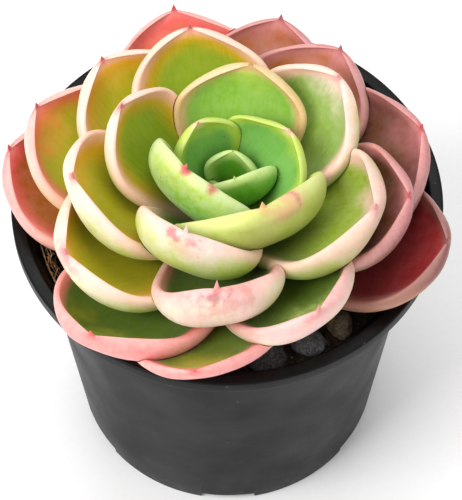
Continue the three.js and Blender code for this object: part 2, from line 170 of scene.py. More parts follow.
def write_mesh(name: str, points: np.ndarray, quads: np.ndarray, fans: np.ndarray) -> bpy.types.Mesh:
    """Makes one smooth mesh from points, quads and triangles, turned so that it faces outwards.

    Args:
        name: Name of the mesh.
        points: Places in millimetres, shape (n, 3).
        quads: Four point numbers each, shape (m, 4).
        fans: Three point numbers each, shape (k, 3).

    Returns:
        The mesh, in metres.
    """
    sheets = np.concatenate([quads[:, [0, 1, 2]], quads[:, [0, 2, 3]], fans]) if len(quads) else fans
    a, b, c = (points[sheets[:, k]] for k in range(3))
    if np.einsum("ij,ij->i", a, np.cross(b, c)).sum() < 0.0:
        quads, fans = quads[:, ::-1], fans[:, ::-1]
    body = bpy.data.meshes.new(name)
    body.vertices.add(len(points))
    body.vertices.foreach_set("co", (points * MM).astype(np.float32).ravel())
    loops = np.concatenate([quads.ravel(), fans.ravel()]).astype(np.int32)
    starts = np.concatenate([np.arange(len(quads)) * 4, len(quads) * 4 + np.arange(len(fans)) * 3])
    body.loops.add(len(loops))
    body.loops.foreach_set("vertex_index", loops)
    body.polygons.add(len(starts))
    body.polygons.foreach_set("loop_start", starts.astype(np.int32))
    body.update(calc_edges=True)
    body.validate()
    body.shade_smooth()
    return body


def placed(name: str, mesh: bpy.types.Mesh) -> bpy.types.Object:
    """Puts a mesh into the scene as an object at the origin."""
    piece = bpy.data.objects.new(name, mesh)
    bpy.context.scene.collection.objects.link(piece)
    return piece


def largest_island(mesh: bpy.types.Mesh) -> None:
    """Removes every part of a mesh that isn't joined to its largest part."""
    edges = np.empty(len(mesh.edges) * 2, dtype=np.int32)
    mesh.edges.foreach_get("vertices", edges)
    a, b = edges.reshape(-1, 2).T
    label = np.arange(len(mesh.vertices))
    while True:
        low = np.minimum(label[a], label[b])
        np.minimum.at(label, a, low)
        np.minimum.at(label, b, low)
        label = label[label]
        if np.array_equal(label[a], label[b]):
            break
    names, counts = np.unique(label, return_counts=True)
    if len(names) == 1:
        return
    stray = np.flatnonzero(label != names[counts.argmax()])
    work = bmesh.new()
    work.from_mesh(mesh)
    work.verts.ensure_lookup_table()
    bmesh.ops.delete(work, geom=[work.verts[i] for i in stray], context="VERTS")
    work.to_mesh(mesh)
    work.free()


def carved(name: str, body: bpy.types.Mesh, cutters: Sequence[bpy.types.Object],
           crease: float) -> bpy.types.Mesh:
    """Cuts solids out of a closed mesh and keeps its largest part.

    Args:
        name: Name of the result.
        body: The closed mesh that is cut.
        cutters: Closed objects that are taken away from it.
        crease: Edges that turn by more than this many degrees are left sharp.

    Returns:
        A new mesh.
    """
    work = placed(name + "_uncut", body)
    for cutter in cutters:
        cut = work.modifiers.new(cutter.name, "BOOLEAN")
        cut.operation, cut.solver, cut.object = "DIFFERENCE", "MANIFOLD", cutter
    shown = work.evaluated_get(bpy.context.evaluated_depsgraph_get())
    result = bpy.data.meshes.new_from_object(shown)
    result.name = name
    largest_island(result)
    bpy.data.objects.remove(work)
    bpy.data.meshes.remove(body)
    result.shade_smooth()
    result.set_sharp_from_angle(angle=math.radians(crease))
    return result


def removed(tools: Sequence[bpy.types.Object]) -> None:
    """Removes objects that were only there to cut others."""
    for tool in tools:
        mesh = tool.data
        bpy.data.objects.remove(tool)
        bpy.data.meshes.remove(mesh)


def rounded(profile: Sequence[tuple[float, float]], radius: float, steps: int = 5) -> np.ndarray:
    """A profile with its corners rounded.

    Each corner is swapped for a parabola between two points, one on each side of it, no
    further away than the radius or 0.45 of that side.

    Args:
        profile: Corners as radius and height, from the axis back to the axis.
        radius: How far from a corner its rounding starts.
        steps: Points along each rounding.

    Returns:
        The points of the rounded profile, shape (n, 2).
    """
    corners = np.array(profile, dtype=float)
    before, at, after = corners[:-2], corners[1:-1], corners[2:]
    back, ahead = before - at, after - at
    back *= np.minimum(0.45, radius / np.linalg.norm(back, axis=1))[:, None]
    ahead *= np.minimum(0.45, radius / np.linalg.norm(ahead, axis=1))[:, None]
    t = np.linspace(0.0, 1.0, steps)[None, :, None]
    arcs = at[:, None] + back[:, None] * (1.0 - t) ** 2 + ahead[:, None] * t**2
    return np.concatenate([corners[:1], arcs.reshape(-1, 2), corners[-1:]])


def refined(profile: np.ndarray, longest: float) -> np.ndarray:
    """A profile with extra points, so that no side is longer than the given length."""
    pieces = [profile[:1]]
    for start, end in zip(profile[:-1], profile[1:]):
        count = max(1, math.ceil(float(np.linalg.norm(end - start)) / longest))
        pieces.append(start + (end - start) * np.arange(1, count + 1)[:, None] / count)
    return np.concatenate(pieces)


def turned(profile: np.ndarray, sides: int, centre: tuple[float, float] = (0.0, 0.0)) -> Skin:
    """A profile carried round a vertical axis: x = r cos(a), y = r sin(a), z = h.

    Args:
        profile: Radius and height of each point, the first and the last one on the axis.
        sides: How many steps go round.
        centre: Where the axis stands.

    Returns:
        The closed surface.
    """
    angle = np.linspace(0.0, 2.0 * math.pi, sides, endpoint=False)
    radius, height = profile[1:-1, 0, None], profile[1:-1, 1, None]
    x = centre[0] + radius * np.cos(angle)
    y = centre[1] + radius * np.sin(angle)
    rings = np.stack([x, y, np.broadcast_to(height, x.shape)], axis=-1)
    poles = tuple(np.array([*centre, h]) for h in (profile[0, 1], profile[-1, 1]))
    return Skin(rings, poles)


def box_cutter(name: str, size: tuple[float, float, float], radius: float,
               azimuth: float) -> bpy.types.Object:
    """A block to cut with, its middle at a radius and an azimuth on the ground plane."""
    signs = np.array([(x, y, z) for z in (-1, 1) for x, y in ((-1, -1), (1, -1), (1, 1), (-1, 1))])
    points = signs * np.array(size) / 2.0 + np.array([radius, 0.0, 0.0])
    turn = math.radians(azimuth)
    spin = np.array([[math.cos(turn), math.sin(turn), 0], [-math.sin(turn), math.cos(turn), 0], [0, 0, 1]])
    quads = np.array([(0, 3, 2, 1), (4, 5, 6, 7), (0, 1, 5, 4), (1, 2, 6, 5), (2, 3, 7, 6), (3, 0, 4, 7)])
    return placed(name, write_mesh(name, points @ spin, quads, np.empty((0, 3), dtype=int)))


# ---- Shader wiring ------------------------------------------------------------------------


def paint(code: str) -> tuple[float, float, float, float]:
    """A colour written as #rrggbb, in linear light, opaque."""
    channel = [int(code[k:k + 2], 16) / 255.0 for k in (1, 3, 5)]
    linear = [c / 12.92 if c <= 0.04045 else ((c + 0.055) / 1.055) ** 2.4 for c in channel]
    return (*linear, 1.0)


class Wiring:
    """Lays the nodes of one material and joins them."""

    def __init__(self, name: str) -> None:
        """Starts an empty material of that name."""
        self.material = bpy.data.materials.new(name)
        self.material.use_nodes = True
        self.tree = self.material.node_tree
        self.tree.nodes.clear()

    def node(self, kind: str, inputs: Optional[dict] = None, **options: object) -> bpy.types.Node:
        """Adds a node, sets its options, and sets or joins its inputs.

        Args:
            kind: Blender's name of the node type, without ShaderNode.
            inputs: Input by name or number, and its value or the socket that feeds it.
            options: Properties of the node.

        Returns:
            The node.
        """
        made = self.tree.nodes.new("ShaderNode" + kind)
        for key, value in options.items():
            setattr(made, key, value)
        for key, value in (inputs or {}).items():
            if isinstance(value, bpy.types.NodeSocket):
                self.tree.links.new(value, made.inputs[key])
            else:
                made.inputs[key].default_value = value
        return made

    def math(self, operation: str, *values: object, clamp: bool = False) -> bpy.types.NodeSocket:
        """One arithmetic step on sockets or numbers."""
        return self.node("Math", dict(enumerate(values)), operation=operation, use_clamp=clamp).outputs[0]

    def times(self, first: object, second: object) -> bpy.types.NodeSocket:
        """The product of two sockets or numbers."""
        return self.math("MULTIPLY", first, second)

    def plus(self, first: object, second: object) -> bpy.types.NodeSocket:
        """The sum of two sockets or numbers."""
        return self.math("ADD", first, second)

    def minus(self, first: object, second: object) -> bpy.types.NodeSocket:
        """The first of two sockets or numbers less the second."""
        return self.math("SUBTRACT", first, second)

    def spread(self, value: object, low: float, high: float, to_low: float = 0.0,
               to_high: float = 1.0) -> bpy.types.NodeSocket:
        """Carries a value from one range to another along a smooth step, held at both ends."""
        inputs = {"Value": value, "From Min": low, "From Max": high, "To Min": to_low, "To Max": to_high}
        return self.node("MapRange", inputs, interpolation_type="SMOOTHSTEP").outputs[0]

    def mix(self, share: object, first: object, second: object, blend: str = "MIX") -> bpy.types.NodeSocket:
        """Two colours mixed by a share of the second."""
        inputs = {0: share, 6: first, 7: second}
        return self.node("Mix", inputs, data_type="RGBA", blend_type=blend).outputs[2]

    def place(self, scale: tuple[float, float, float] = (1, 1, 1),
              offset: tuple[float, float, float] = (0, 0, 0),
              uv: Optional[str] = None) -> bpy.types.NodeSocket:
        """Object coordinates, or a named UV map, in millimetres times a scale."""
        if uv:
            source = self.node("UVMap", uv_map=uv).outputs[0]
            factor = scale
        else:
            source = self.node("TexCoord").outputs["Object"]
            factor = tuple(s / MM for s in scale)
        inputs = {"Vector": source, "Scale": factor, "Location": offset}
        return self.node("Mapping", inputs).outputs[0]

    def noise(self, where: bpy.types.NodeSocket, scale: float, detail: float = 3.0, rough: float = 0.55,
              warp: float = 0.0) -> bpy.types.NodeSocket:
        """Noise of 0 to 1 at a scale per millimetre."""
        inputs = {"Vector": where, "Scale": scale, "Detail": detail, "Roughness": rough, "Distortion": warp}
        return self.node("TexNoise", inputs).outputs[0]

    def cells(self, where: bpy.types.NodeSocket,
              scale: float) -> tuple[bpy.types.NodeSocket, bpy.types.NodeSocket]:
        """Distance to the nearest random point, and that point's random colour."""
        made = self.node("TexVoronoi", {"Vector": where, "Scale": scale})
        return made.outputs["Distance"], made.outputs["Color"]

    def bump(self, height: object, depth: float, strength: float = 1.0,
             under: Optional[bpy.types.NodeSocket] = None) -> bpy.types.NodeSocket:
        """Turns a height of 0 to 1 into a normal, the full height being depth in millimetres."""
        inputs = {"Height": height, "Distance": depth * MM, "Strength": strength}
        if under is not None:
            inputs["Normal"] = under
        return self.node("Bump", inputs).outputs[0]

    def finish(self, **surface: object) -> bpy.types.Material:
        """Ends the material in a Principled shader.

        Args:
            surface: Inputs of the shader by name, with _ for a space.

        Returns:
            The material.
        """
        inputs = {key.replace("_", " "): value for key, value in surface.items()}
        shader = self.node("BsdfPrincipled", inputs)
        self.node("OutputMaterial", {"Surface": shader.outputs[0]})
        return self.material


# ---- Finishes -----------------------------------------------------------------------------


@dataclass(frozen=True)
class PotPlastic:
    """Satin black polypropylene: fine grain, faint drawn streaks, dust and water marks."""

    base: str = "#070707"
    worn: str = "#0d0d0d"
    dust: str = "#6a655e"
    roughness: float = 0.42

    def make(self) -> bpy.types.Material:
        """Builds the material."""
        w = Wiring("pot_plastic")
        spot = w.place()
        drawn = w.noise(w.place(scale=(1.0, 1.0, 0.06)), 0.35, 4.0)
        cloud = w.noise(spot, 0.05, 3.0)
        grain = w.noise(spot, 3.2, 2.0)
        colour = w.mix(w.spread(w.plus(drawn, w.times(cloud, 0.6)), 0.6, 1.1),
                       paint(self.base), paint(self.worn))
        specks, pick = w.cells(spot, 0.35)
        chosen = w.spread(w.node("SeparateColor", {0: pick}).outputs[0], 0.86, 0.9)
        speck = w.times(w.spread(specks, 0.16, 0.07), chosen)
        height = w.node("SeparateXYZ", {0: spot}).outputs[2]
        low = w.spread(height, 14.0, 0.0, 0.0, 0.35)
        dusty = w.times(w.spread(w.noise(spot, 0.4, 5.0, 0.7), 0.45, 0.75), low)
        colour = w.mix(w.math("MAXIMUM", w.times(speck, 0.35), dusty), colour, paint(self.dust))
        rough = w.spread(w.plus(cloud, w.times(grain, 0.4)), 0.4, 1.0,
                         self.roughness - 0.06, self.roughness + 0.12)
        normal = w.bump(grain, 0.05, 0.5, w.bump(drawn, 0.12, 0.35))
        return w.finish(Base_Color=colour, Roughness=rough, Normal=normal, IOR=1.4, Specular_IOR_Level=0.22)


@dataclass(frozen=True)
class PottingMix:
    """Damp peat and coir: nearly black, with brown fibres and pale mineral specks."""

    dark: str = "#1d1611"
    brown: str = "#4a3728"
    pale: str = "#a08a70"
    pale_share: float = 0.9

    def make(self, name: str) -> bpy.types.Material:
        """Builds the material under a name."""
        w = Wiring(name)
        spot = w.place()
        lump = w.noise(spot, 0.45, 5.0, 0.7, 0.4)
        grain, pick = w.cells(spot, 1.1)
        chance = w.node("SeparateColor", {0: pick}).outputs[1]
        colour = w.mix(w.spread(lump, 0.38, 0.72), paint(self.dark), paint(self.brown))
        speck = w.times(w.spread(chance, self.pale_share, self.pale_share + 0.03),
                       w.spread(grain, 0.42, 0.2))
        colour = w.mix(w.times(speck, 0.8), colour, paint(self.pale))
        normal = w.bump(w.plus(lump, w.times(grain, 0.5)), 0.9, 0.8)
        rough = w.spread(lump, 0.3, 0.8, 0.75, 0.98)
        return w.finish(Base_Color=colour, Roughness=rough, Normal=normal)


@dataclass(frozen=True)
class DryFibre:
    """Dry root and coir fibre: tan, darker in places, ribbed along its length."""

    light: str = "#c49a6c"
    dark: str = "#6d4a2c"

    def make(self, name: str) -> bpy.types.Material:
        """Builds the material under a name."""
        w = Wiring(name)
        spot = w.place()
        tone = w.noise(spot, 0.5, 4.0, 0.65)
        colour = w.mix(w.spread(tone, 0.35, 0.7), paint(self.dark), paint(self.light))
        ribs = w.noise(w.place(uv="run", scale=(2.0, 0.2, 1.0)), 4.0, 2.0)
        rough = w.spread(tone, 0.3, 0.7, 0.65, 0.9)
        return w.finish(Base_Color=colour, Roughness=rough, Normal=w.bump(ribs, 0.1, 0.6))


@dataclass(frozen=True)
class Stone:
    """Worn stone: a mottled tone with fine grains and a few pale veins."""

    light: str
    dark: str
    grain: str

    def make(self, name: str) -> bpy.types.Material:
        """Builds the material under a name."""
        w = Wiring(name)
        spot = w.place()
        cloud = w.noise(spot, 0.35, 5.0, 0.6, 0.6)
        fleck, pick = w.cells(spot, 2.6)
        chance = w.node("SeparateColor", {0: pick}).outputs[0]
        colour = w.mix(w.spread(cloud, 0.35, 0.68), paint(self.dark), paint(self.light))
        colour = w.mix(w.times(w.spread(chance, 0.7, 0.8), 0.45), colour, paint(self.grain))
        vein = w.spread(w.math("ABSOLUTE", w.minus(w.noise(spot, 0.16, 3.0, 0.5, 1.5), 0.5)), 0.02, 0.0)
        colour = w.mix(w.times(vein, 0.3), colour, paint(self.grain))
        normal = w.bump(w.plus(cloud, w.times(fleck, 0.3)), 0.35, 0.6)
        return w.finish(Base_Color=colour, Roughness=w.spread(cloud, 0.3, 0.7, 0.5, 0.75), Normal=normal)


@dataclass(frozen=True)
class Bark:
    """Soft succulent stem: pale green-brown, with darker ring scars and dry patches."""

    green: str = "#9a9650"
    brown: str = "#7d5a38"
    scar: str = "#4d3826"

    def make(self) -> bpy.types.Material:
        """Builds the material."""
        w = Wiring("stem_bark")
        spot = w.place()
        patch = w.noise(spot, 0.3, 5.0, 0.6)
        height = w.node("SeparateXYZ", {0: spot}).outputs[2]
        ring = w.math("FRACT", w.plus(w.times(height, 0.55), w.times(patch, 0.5)))
        scar = w.spread(w.math("ABSOLUTE", w.minus(ring, 0.5)), 0.14, 0.04)
        colour = w.mix(w.spread(patch, 0.4, 0.65), paint(self.green), paint(self.brown))
        colour = w.mix(w.times(scar, 0.7), colour, paint(self.scar))
        normal = w.bump(w.minus(patch, scar), 0.4, 0.7)
        return w.finish(Base_Color=colour, Roughness=w.spread(patch, 0.3, 0.7, 0.6, 0.85), Normal=normal)


@dataclass(frozen=True)
class FloorPaper:
    """Plain white background paper, a little uneven in tone."""

    base: str = "#f7f7f7"
    shade: str = "#f2f2f1"

    def make(self) -> bpy.types.Material:
        """Builds the material."""
        w = Wiring("floor_paper")
        fibre = w.noise(w.place(), 0.6, 3.0)
        colour = w.mix(fibre, paint(self.base), paint(self.shade))
        return w.finish(Base_Color=colour, Roughness=0.9, Normal=w.bump(fibre, 0.02, 0.3))


class Pigment(Enum):
    """Colours of the leaves."""

    SPRUCE = "#3f7a28"
    TEAL = "#74b048"
    GRASS = "#60a008"
    FERN = "#86b830"
    LIME = "#b8d03c"
    DEW = "#cfe08c"
    # MOSS is an olive green; where it colours the low inner faces, its darkness is partly painted shade.
    MOSS = "#5a7400"
    OLIVE = "#869c00"
    STRAW = "#a8a204"
    GOLD = "#d2a80a"
    AMBER = "#ee8c3c"
    HONEY = "#ccd274"
    APRICOT = "#e0a878"
    CORAL = "#f2685e"
    SCARLET = "#ee5258"
    SALMON = "#f08e8a"
    SHELL = "#f6bcb4"
    PEARL = "#f0dcc8"
    CREAM = "#f2e6c0"
    ROSE = "#e08c8c"
    MAUVE = "#aa6064"
    PLUM = "#8a4a44"
    BRICK = "#7c4220"
    # UMBER is a dark olive; where it colours the low inner faces, its darkness is partly painted shade.
    UMBER = "#544a08"
    WINE = "#98181c"
    CRIMSON = "#c43a4c"
    SCAB = "#a85a68"
    PISTACHIO = "#a2b63c"
    GARNET = "#7e1418"
    TAUPE = "#8c6040"
    SAGE = "#88a640"
    BISQUE = "#e4b8a6"
    # A near-black red for the root of the oldest red leaf: a garnet darkened by painted shade.
    SHADED_GARNET = "#4a0c0a"
    MARIGOLD = "#eca816"
    RUSSET = "#b8681c"
    BLUSH = "#cc7c7c"


@dataclass(frozen=True)
class Mark:
    """A spot, scar or rubbed place on a leaf.

    Attributes:
        along: Where it is on the leaf, as a share of the length.
        across: Where it is to the side of the leaf's middle line, in millimetres.
        size: Its half length and its half width, in millimetres.
        colour: Its colour.
        rough: How ragged its outline is, from 0 to 1.
        strength: How strongly it covers the skin, from 0 to 1.
        inside: True on the inner face, False on the back.
    """

    along: float
    across: float
    size: tuple[float, float]
    colour: Pigment = Pigment.CRIMSON
    rough: float = 0.3
    strength: float = 0.8
    inside: bool = False


@dataclass(frozen=True)
class LeafTint:
    """Colours of one leaf.

    Attributes:
        root: Inner face near the root; on the older families its darkness is partly painted shade.
        heart: Inner face at its middle.
        brow: Inner face towards the tip.
        flush: Band along the edge of the inner face.
        flush_width: Width of that band in millimetres.
        back_low: Back near the root.
        back_high: Back near the tip.
        back_flush: Band along the edge of the back.
        bloom: How much whitish wax lies on the back, from 0 to 1.
        frost: How much of it lies on the inner face.
        tip: Colour of the small point and the skin round it.
    """

    root: Pigment
    heart: Pigment
    brow: Pigment
    flush: Pigment
    flush_width: float
    back_low: Pigment
    back_high: Pigment
    back_flush: Pigment
    bloom: float = 0.2
    frost: float = 0.08
    tip: Pigment = Pigment.CRIMSON


@dataclass(frozen=True)
class LeafSkin:
    """Waxy leaf skin.

    The colour runs from root to tip on each face, with streaks along the leaf, a flushed
    band and a pale line at the edge, patches of whitish bloom, a coloured tip and marks.
    """

    tint: LeafTint
    marks: tuple[Mark, ...]
    length: float
    seed: float
    roughness: float = 0.42
    wax: str = "#eef3ea"
    edge: str = "#fdf1e2"

    def coloured(self, w: Wiring) -> tuple[bpy.types.NodeSocket, bpy.types.NodeSocket]:
        """Wires the colour of the skin.

        Args:
            w: The material's wiring.

        Returns:
            The colour, and the share of bloom.
        """
        tint = self.tint
        spot = w.place(offset=(self.seed, self.seed * 2.0, 0.0))
        place = w.node("SeparateXYZ", {0: w.node("UVMap", uv_map="place").outputs[0]})
        along, across = place.outputs[0], place.outputs[1]
        rim = w.node("SeparateXYZ", {0: w.node("UVMap", uv_map="rim").outputs[0]})
        face, margin = rim.outputs[0], rim.outputs[1]
        cloud = w.noise(spot, 0.09, 4.0, 0.55)
        mottle = w.noise(spot, 0.45, 4.0, 0.6)
        streak = w.noise(w.place(uv="run", scale=(1.0, 0.11, 1.0), offset=(self.seed, 0, 0)), 1.1, 3.0, 0.6)
        drift = w.plus(w.times(w.minus(cloud, 0.5), 0.5),
                       w.times(w.minus(streak, 0.5), 0.16))
        shifted = w.plus(along, drift)
        # Towards the root the inner face takes the root colour. On the older families this is partly
        # painted shade between the leaves.
        inner = w.mix(w.spread(shifted, 0.12, 0.5), paint(tint.root.value), paint(tint.heart.value))
        inner = w.mix(w.spread(shifted, 0.74, 1.02), inner, paint(tint.brow.value))
        outer = w.mix(w.spread(shifted, 0.68, 1.0), paint(tint.back_low.value), paint(tint.back_high.value))
        ragged = w.times(margin, w.plus(0.45, w.plus(w.times(cloud, 0.6), w.times(streak, 0.5))))
        flush = w.spread(ragged, tint.flush_width, 0.0)
        ends = w.spread(along, 0.15, 0.5)
        flush = w.times(flush, ends)
        inner = w.mix(w.times(flush, 0.9), inner, paint(tint.flush.value))
        inner = w.mix(w.times(w.spread(margin, 4.6, 0.0), 0.85), inner, paint(tint.back_flush.value))
        near = w.times(w.spread(ragged, 3.0, 0.0), ends)
        outer = w.mix(w.times(near, 0.75), outer, paint(tint.back_flush.value))
        colour = w.mix(w.spread(face, -0.55, 0.62), outer, inner)
        wax = w.times(w.spread(w.plus(mottle, w.times(cloud, 0.7)), 0.55, 1.05),
                     w.spread(face, 0.3, -0.3, tint.frost, tint.bloom))
        colour = w.mix(wax, colour, paint(self.wax))
        colour = w.mix(w.spread(streak, 0.42, 0.75, 0.0, 0.15), colour,
                       w.mix(1.0, colour, colour, "MULTIPLY"))
        line = w.times(w.spread(w.math("ABSOLUTE", w.plus(face, 0.25)), 0.5, 0.08),
                      w.spread(w.plus(along, w.times(mottle, 0.3)), 0.3, 0.6))
        colour = w.mix(w.times(line, 0.1), colour, paint(self.edge))
        reach = w.times(w.minus(1.03, along), self.length)
        sideways = w.node("SeparateXYZ", {0: w.node("UVMap", uv_map="run").outputs[0]}).outputs[0]
        away = w.math("SQRT", w.plus(w.math("POWER", reach, 2.0), w.math("POWER", sideways, 2.0)))
        away = w.plus(away, w.times(w.minus(mottle, 0.5), 3.0))
        colour = w.mix(w.times(w.spread(away, 3.4, 0.2), 0.8), colour, paint(tint.tip.value))
        for mark in self.marks:
            dx = w.math("DIVIDE", w.times(w.minus(along, mark.along), self.length), mark.size[0])
            dy = w.math("DIVIDE", w.minus(sideways, mark.across), mark.size[1])
            gone = w.math("SQRT", w.plus(w.math("POWER", dx, 2.0), w.math("POWER", dy, 2.0)))
            gone = w.plus(gone, w.times(w.minus(mottle, 0.5), 3.0 * mark.rough))
            side = w.spread(face, -0.1, 0.1) if mark.inside else w.spread(face, 0.1, -0.1)
            share = w.times(w.times(w.spread(gone, 1.4, 0.3), side), mark.strength)
            colour = w.mix(share, colour, paint(mark.colour.value))
        pits, pick = w.cells(spot, 0.16)
        chance = w.node("SeparateColor", {0: pick}).outputs[0]
        dot = w.times(w.spread(pits, 0.075, 0.04), w.spread(chance, 0.8, 0.82))
        colour = w.mix(w.times(dot, 0.7), colour, paint("#6b2f2a"))
        return colour, wax

    def make(self, name: str) -> bpy.types.Material:
        """Builds the material under a name."""
        w = Wiring(name)
        colour, wax = self.coloured(w)
        spot = w.place()
        fine = w.noise(spot, 2.4, 3.0, 0.6)
        ribs = w.noise(w.place(uv="run", scale=(1.0, 0.08, 1.0)), 0.9, 3.0)
        swell = w.noise(spot, 0.22, 2.0)
        rough = w.plus(w.times(wax, 0.3),
                       w.spread(fine, 0.3, 0.7, self.roughness - 0.06, self.roughness + 0.06))
        normal = w.bump(fine, 0.06, 0.5, w.bump(ribs, 0.12, 0.4, w.bump(swell, 0.5, 0.3)))
        return w.finish(Base_Color=colour, Roughness=rough, Normal=normal, IOR=1.4,
                        Subsurface_Weight=0.12, Subsurface_Radius=(1.0, 0.5, 0.25), Subsurface_Scale=0.002,
                        Sheen_Weight=0.08, Sheen_Roughness=0.5)


# ---- Pot ----------------------------------------------------------------------------------


@dataclass
class NurseryPot:
    """Round nursery pot: foot ring, pad, drained floor, tapered wall, flare, ledge and lip."""

    height: float = 90.0
    foot: float = 42.0
    neck: float = 49.6
    throat: float = 52.6
    rim: float = 56.0
    neck_height: float = 81.0
    lip: float = 4.0
    wall: float = 1.3
    lift: float = 3.0
    ring: float = 2.4
    pad: float = 12.0
    notches: int = 6
    first_notch: float = 30.0
    notch_width: float = 15.0
    notch_height: float = 2.5
    drain: float = 3.5
    drain_circle: float = 28.0
    sides: int = 240

    def inside(self, height: float) -> float:
        """Inner radius at a height: it grows evenly to the neck, then faster to the throat."""
        if height <= self.neck_height:
            return self.foot + (self.neck - self.foot) * height / self.neck_height - self.wall
        share = (height - self.neck_height) / (self.height - self.neck_height)
        return self.neck - self.wall + (self.throat - self.neck + self.wall) * share

    def profile(self) -> np.ndarray:
        """The section of the wall, corners rounded, from under the pad to the floor's middle."""
        top, wall = self.height, self.wall
        bed = self.lift + wall
        corners = [
            (0.0, 0.0), (self.pad, 0.0), (self.pad + 1.0, self.lift), (self.foot - self.ring, self.lift),
            (self.foot - wall, 0.0), (self.foot, 0.0), (self.neck, self.neck_height),
            (self.throat + wall / 2.0, top - wall), (self.rim - wall, top - wall),
            (self.rim - wall, top - self.lip), (self.rim, top - self.lip), (self.rim, top),
            (self.throat, top), (self.neck - wall, self.neck_height), (self.inside(bed), bed), (0.0, bed),
        ]
        return refined(rounded(corners, 0.6), 6.0)

    def build(self) -> bpy.types.Object:
        """Turns the wall, cuts the notches and the drain holes, and dresses the pot."""
        body = turned(self.profile(), self.sides).mesh("nursery_pot")
        tools = []
        for k in range(self.notches):
            azimuth = self.first_notch + 360.0 * k / self.notches
            size = (4.0 * self.ring, self.notch_width, 2.0 * self.notch_height)
            tools.append(box_cutter(f"notch_{k}", size, self.foot, azimuth))
            turn = math.radians(azimuth)
            centre = (self.drain_circle * math.cos(turn), self.drain_circle * math.sin(turn))
            hole = np.array([(0.0, -1.0), (self.drain, -1.0), (self.drain, 7.0), (0.0, 7.0)])
            tools.append(placed(f"drain_{k}", turned(hole, 36, centre).mesh(f"drain_{k}")))
        pot = placed("nursery_pot", carved("nursery_pot", body, tools, 40.0))
        removed(tools)
        pot.data.materials.clear()
        pot.data.materials.append(PotPlastic().make())
        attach(pot, "root")
        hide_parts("pot")
        return pot


# ---- Potting mix --------------------------------------------------------------------------


@dataclass
class MixBed:
    """The potting mix: a bed with a crumbly top, and loose crumbs and pale grit on it."""

    pot: NurseryPot
    top: float = 78.0
    gap: float = 0.3
    uneven: float = 0.7
    sides: int = 400
    ring_step: float = 0.45
    crumbs: int = 3000
    grit: int = 420
    seed: int = 11

    def relief(self, x: np.ndarray, y: np.ndarray) -> np.ndarray:
        """Height of the mix: long humps, lumps of about 5 mm and crumbs of about 2 mm."""
        spots = np.stack([x, y, np.zeros_like(x)], axis=-1)
        humps = waves(spots, 28.0, self.seed) * 0.35
        lumps = waves(spots, 5.0, self.seed + 1) * 0.3
        crumbs = np.abs(waves(spots, 1.9, self.seed + 2)) * 0.5
        return self.top + self.uneven * (humps + lumps + crumbs)

    def build_bed(self, finish: bpy.types.Material) -> bpy.types.Object:
        """Builds the bed: rings from the middle of its underside, up the wall and over the top."""
        bottom = self.pot.lift + self.pot.wall + self.gap
        edge = self.pot.inside(self.top) - self.gap
        flat = [(0.0, bottom), (self.pot.inside(bottom) - self.gap, bottom), (edge, self.top - 0.8)]
        reach = np.arange(edge - 0.2, 0.3, -self.ring_step)
        top = np.stack([reach, np.full_like(reach, self.top)], axis=-1)
        skin = turned(np.concatenate([refined(np.array(flat), 12.0), top, [(0.0, self.top)]]), self.sides)
        rings = skin.rings
        shown = rings[..., 2] > self.top - 0.5
        shape = self.relief(rings[..., 0], rings[..., 1])
        rings[..., 2] = np.where(shown, shape, rings[..., 2])
        bed = placed("mix_bed", skin.mesh("mix_bed"))
        return self.dressed(bed, finish)

    def dressed(self, piece: bpy.types.Object, finish: bpy.types.Material) -> bpy.types.Object:
        """Gives a piece its finish and ties it to the mix."""
        piece.data.materials.append(finish)
        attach(piece, "root")
        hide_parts("soil")
        return piece

    def scattered(self, name: str, count: int, size: tuple[float, float], flatness: float,
                  finish: bpy.types.Material, seed: int) -> bpy.types.Object:
        """Lays many small lumps on the bed.

        Each is an uneven ball of 20 faces: its corners are pushed in or out at random, and it
        is stretched, turned and set down with a third of its height in the mix.

        Args:
            name: Name of the piece.
            count: How many lumps.
            size: Smallest and largest radius.
            flatness: Height as a share of the width.
            finish: Material of the lumps.
            seed: Chooses sizes and places.

        Returns:
            The lumps as one object.
        """
        draw = np.random.default_rng(seed)
        ball = bmesh.new()
        bmesh.ops.create_icosphere(ball, subdivisions=1, radius=1.0)
        corners = np.array([v.co[:] for v in ball.verts])
        faces = np.array([[v.index for v in f.verts] for f in ball.faces])
        ball.free()
        radius = size[0] + (size[1] - size[0]) * draw.random(count) ** 3
        edge = self.pot.inside(self.top) - 0.6
        reach = (edge - radius * 1.3) * np.sqrt(draw.uniform(0.05, 1.0, count))
        turn = draw.uniform(0.0, 2.0 * math.pi, count)
        x, y = reach * np.cos(turn), reach * np.sin(turn)
        lumps = corners[None] * draw.uniform(0.65, 1.2, (count, len(corners), 1))
        lumps = lumps * (radius[:, None] * draw.uniform(0.7, 1.3, (count, 3)))[:, None]
        lumps[..., 2] *= flatness
        spin = draw.uniform(0.0, 2.0 * math.pi, count)[:, None]
        lumps[..., 0], lumps[..., 1] = (
            lumps[..., 0] * np.cos(spin) - lumps[..., 1] * np.sin(spin),
            lumps[..., 0] * np.sin(spin) + lumps[..., 1] * np.cos(spin),
        )
        lumps += np.stack([x, y, self.relief(x, y) + radius * flatness * 0.3], axis=-1)[:, None]
        index = (faces[None] + (np.arange(count) * len(corners))[:, None, None]).reshape(-1, 3)
        mesh = write_mesh(name, lumps.reshape(-1, 3), np.empty((0, 4), dtype=int), index)
        return self.dressed(placed(name, mesh), finish)

    def build(self) -> None:
        """Builds the bed and all that lies loose on it."""
        peat = PottingMix().make("potting_mix")
        self.build_bed(peat)
        self.scattered("mix_crumbs", self.crumbs, (0.25, 1.5), 0.8, peat, self.seed + 5)
        pale = PottingMix("#4a3a2b", "#8a7358", "#c9b79c", 0.6).make("mix_grit")
        self.scattered("mix_grit", self.grit, (0.2, 0.6), 0.9, pale, self.seed + 6)


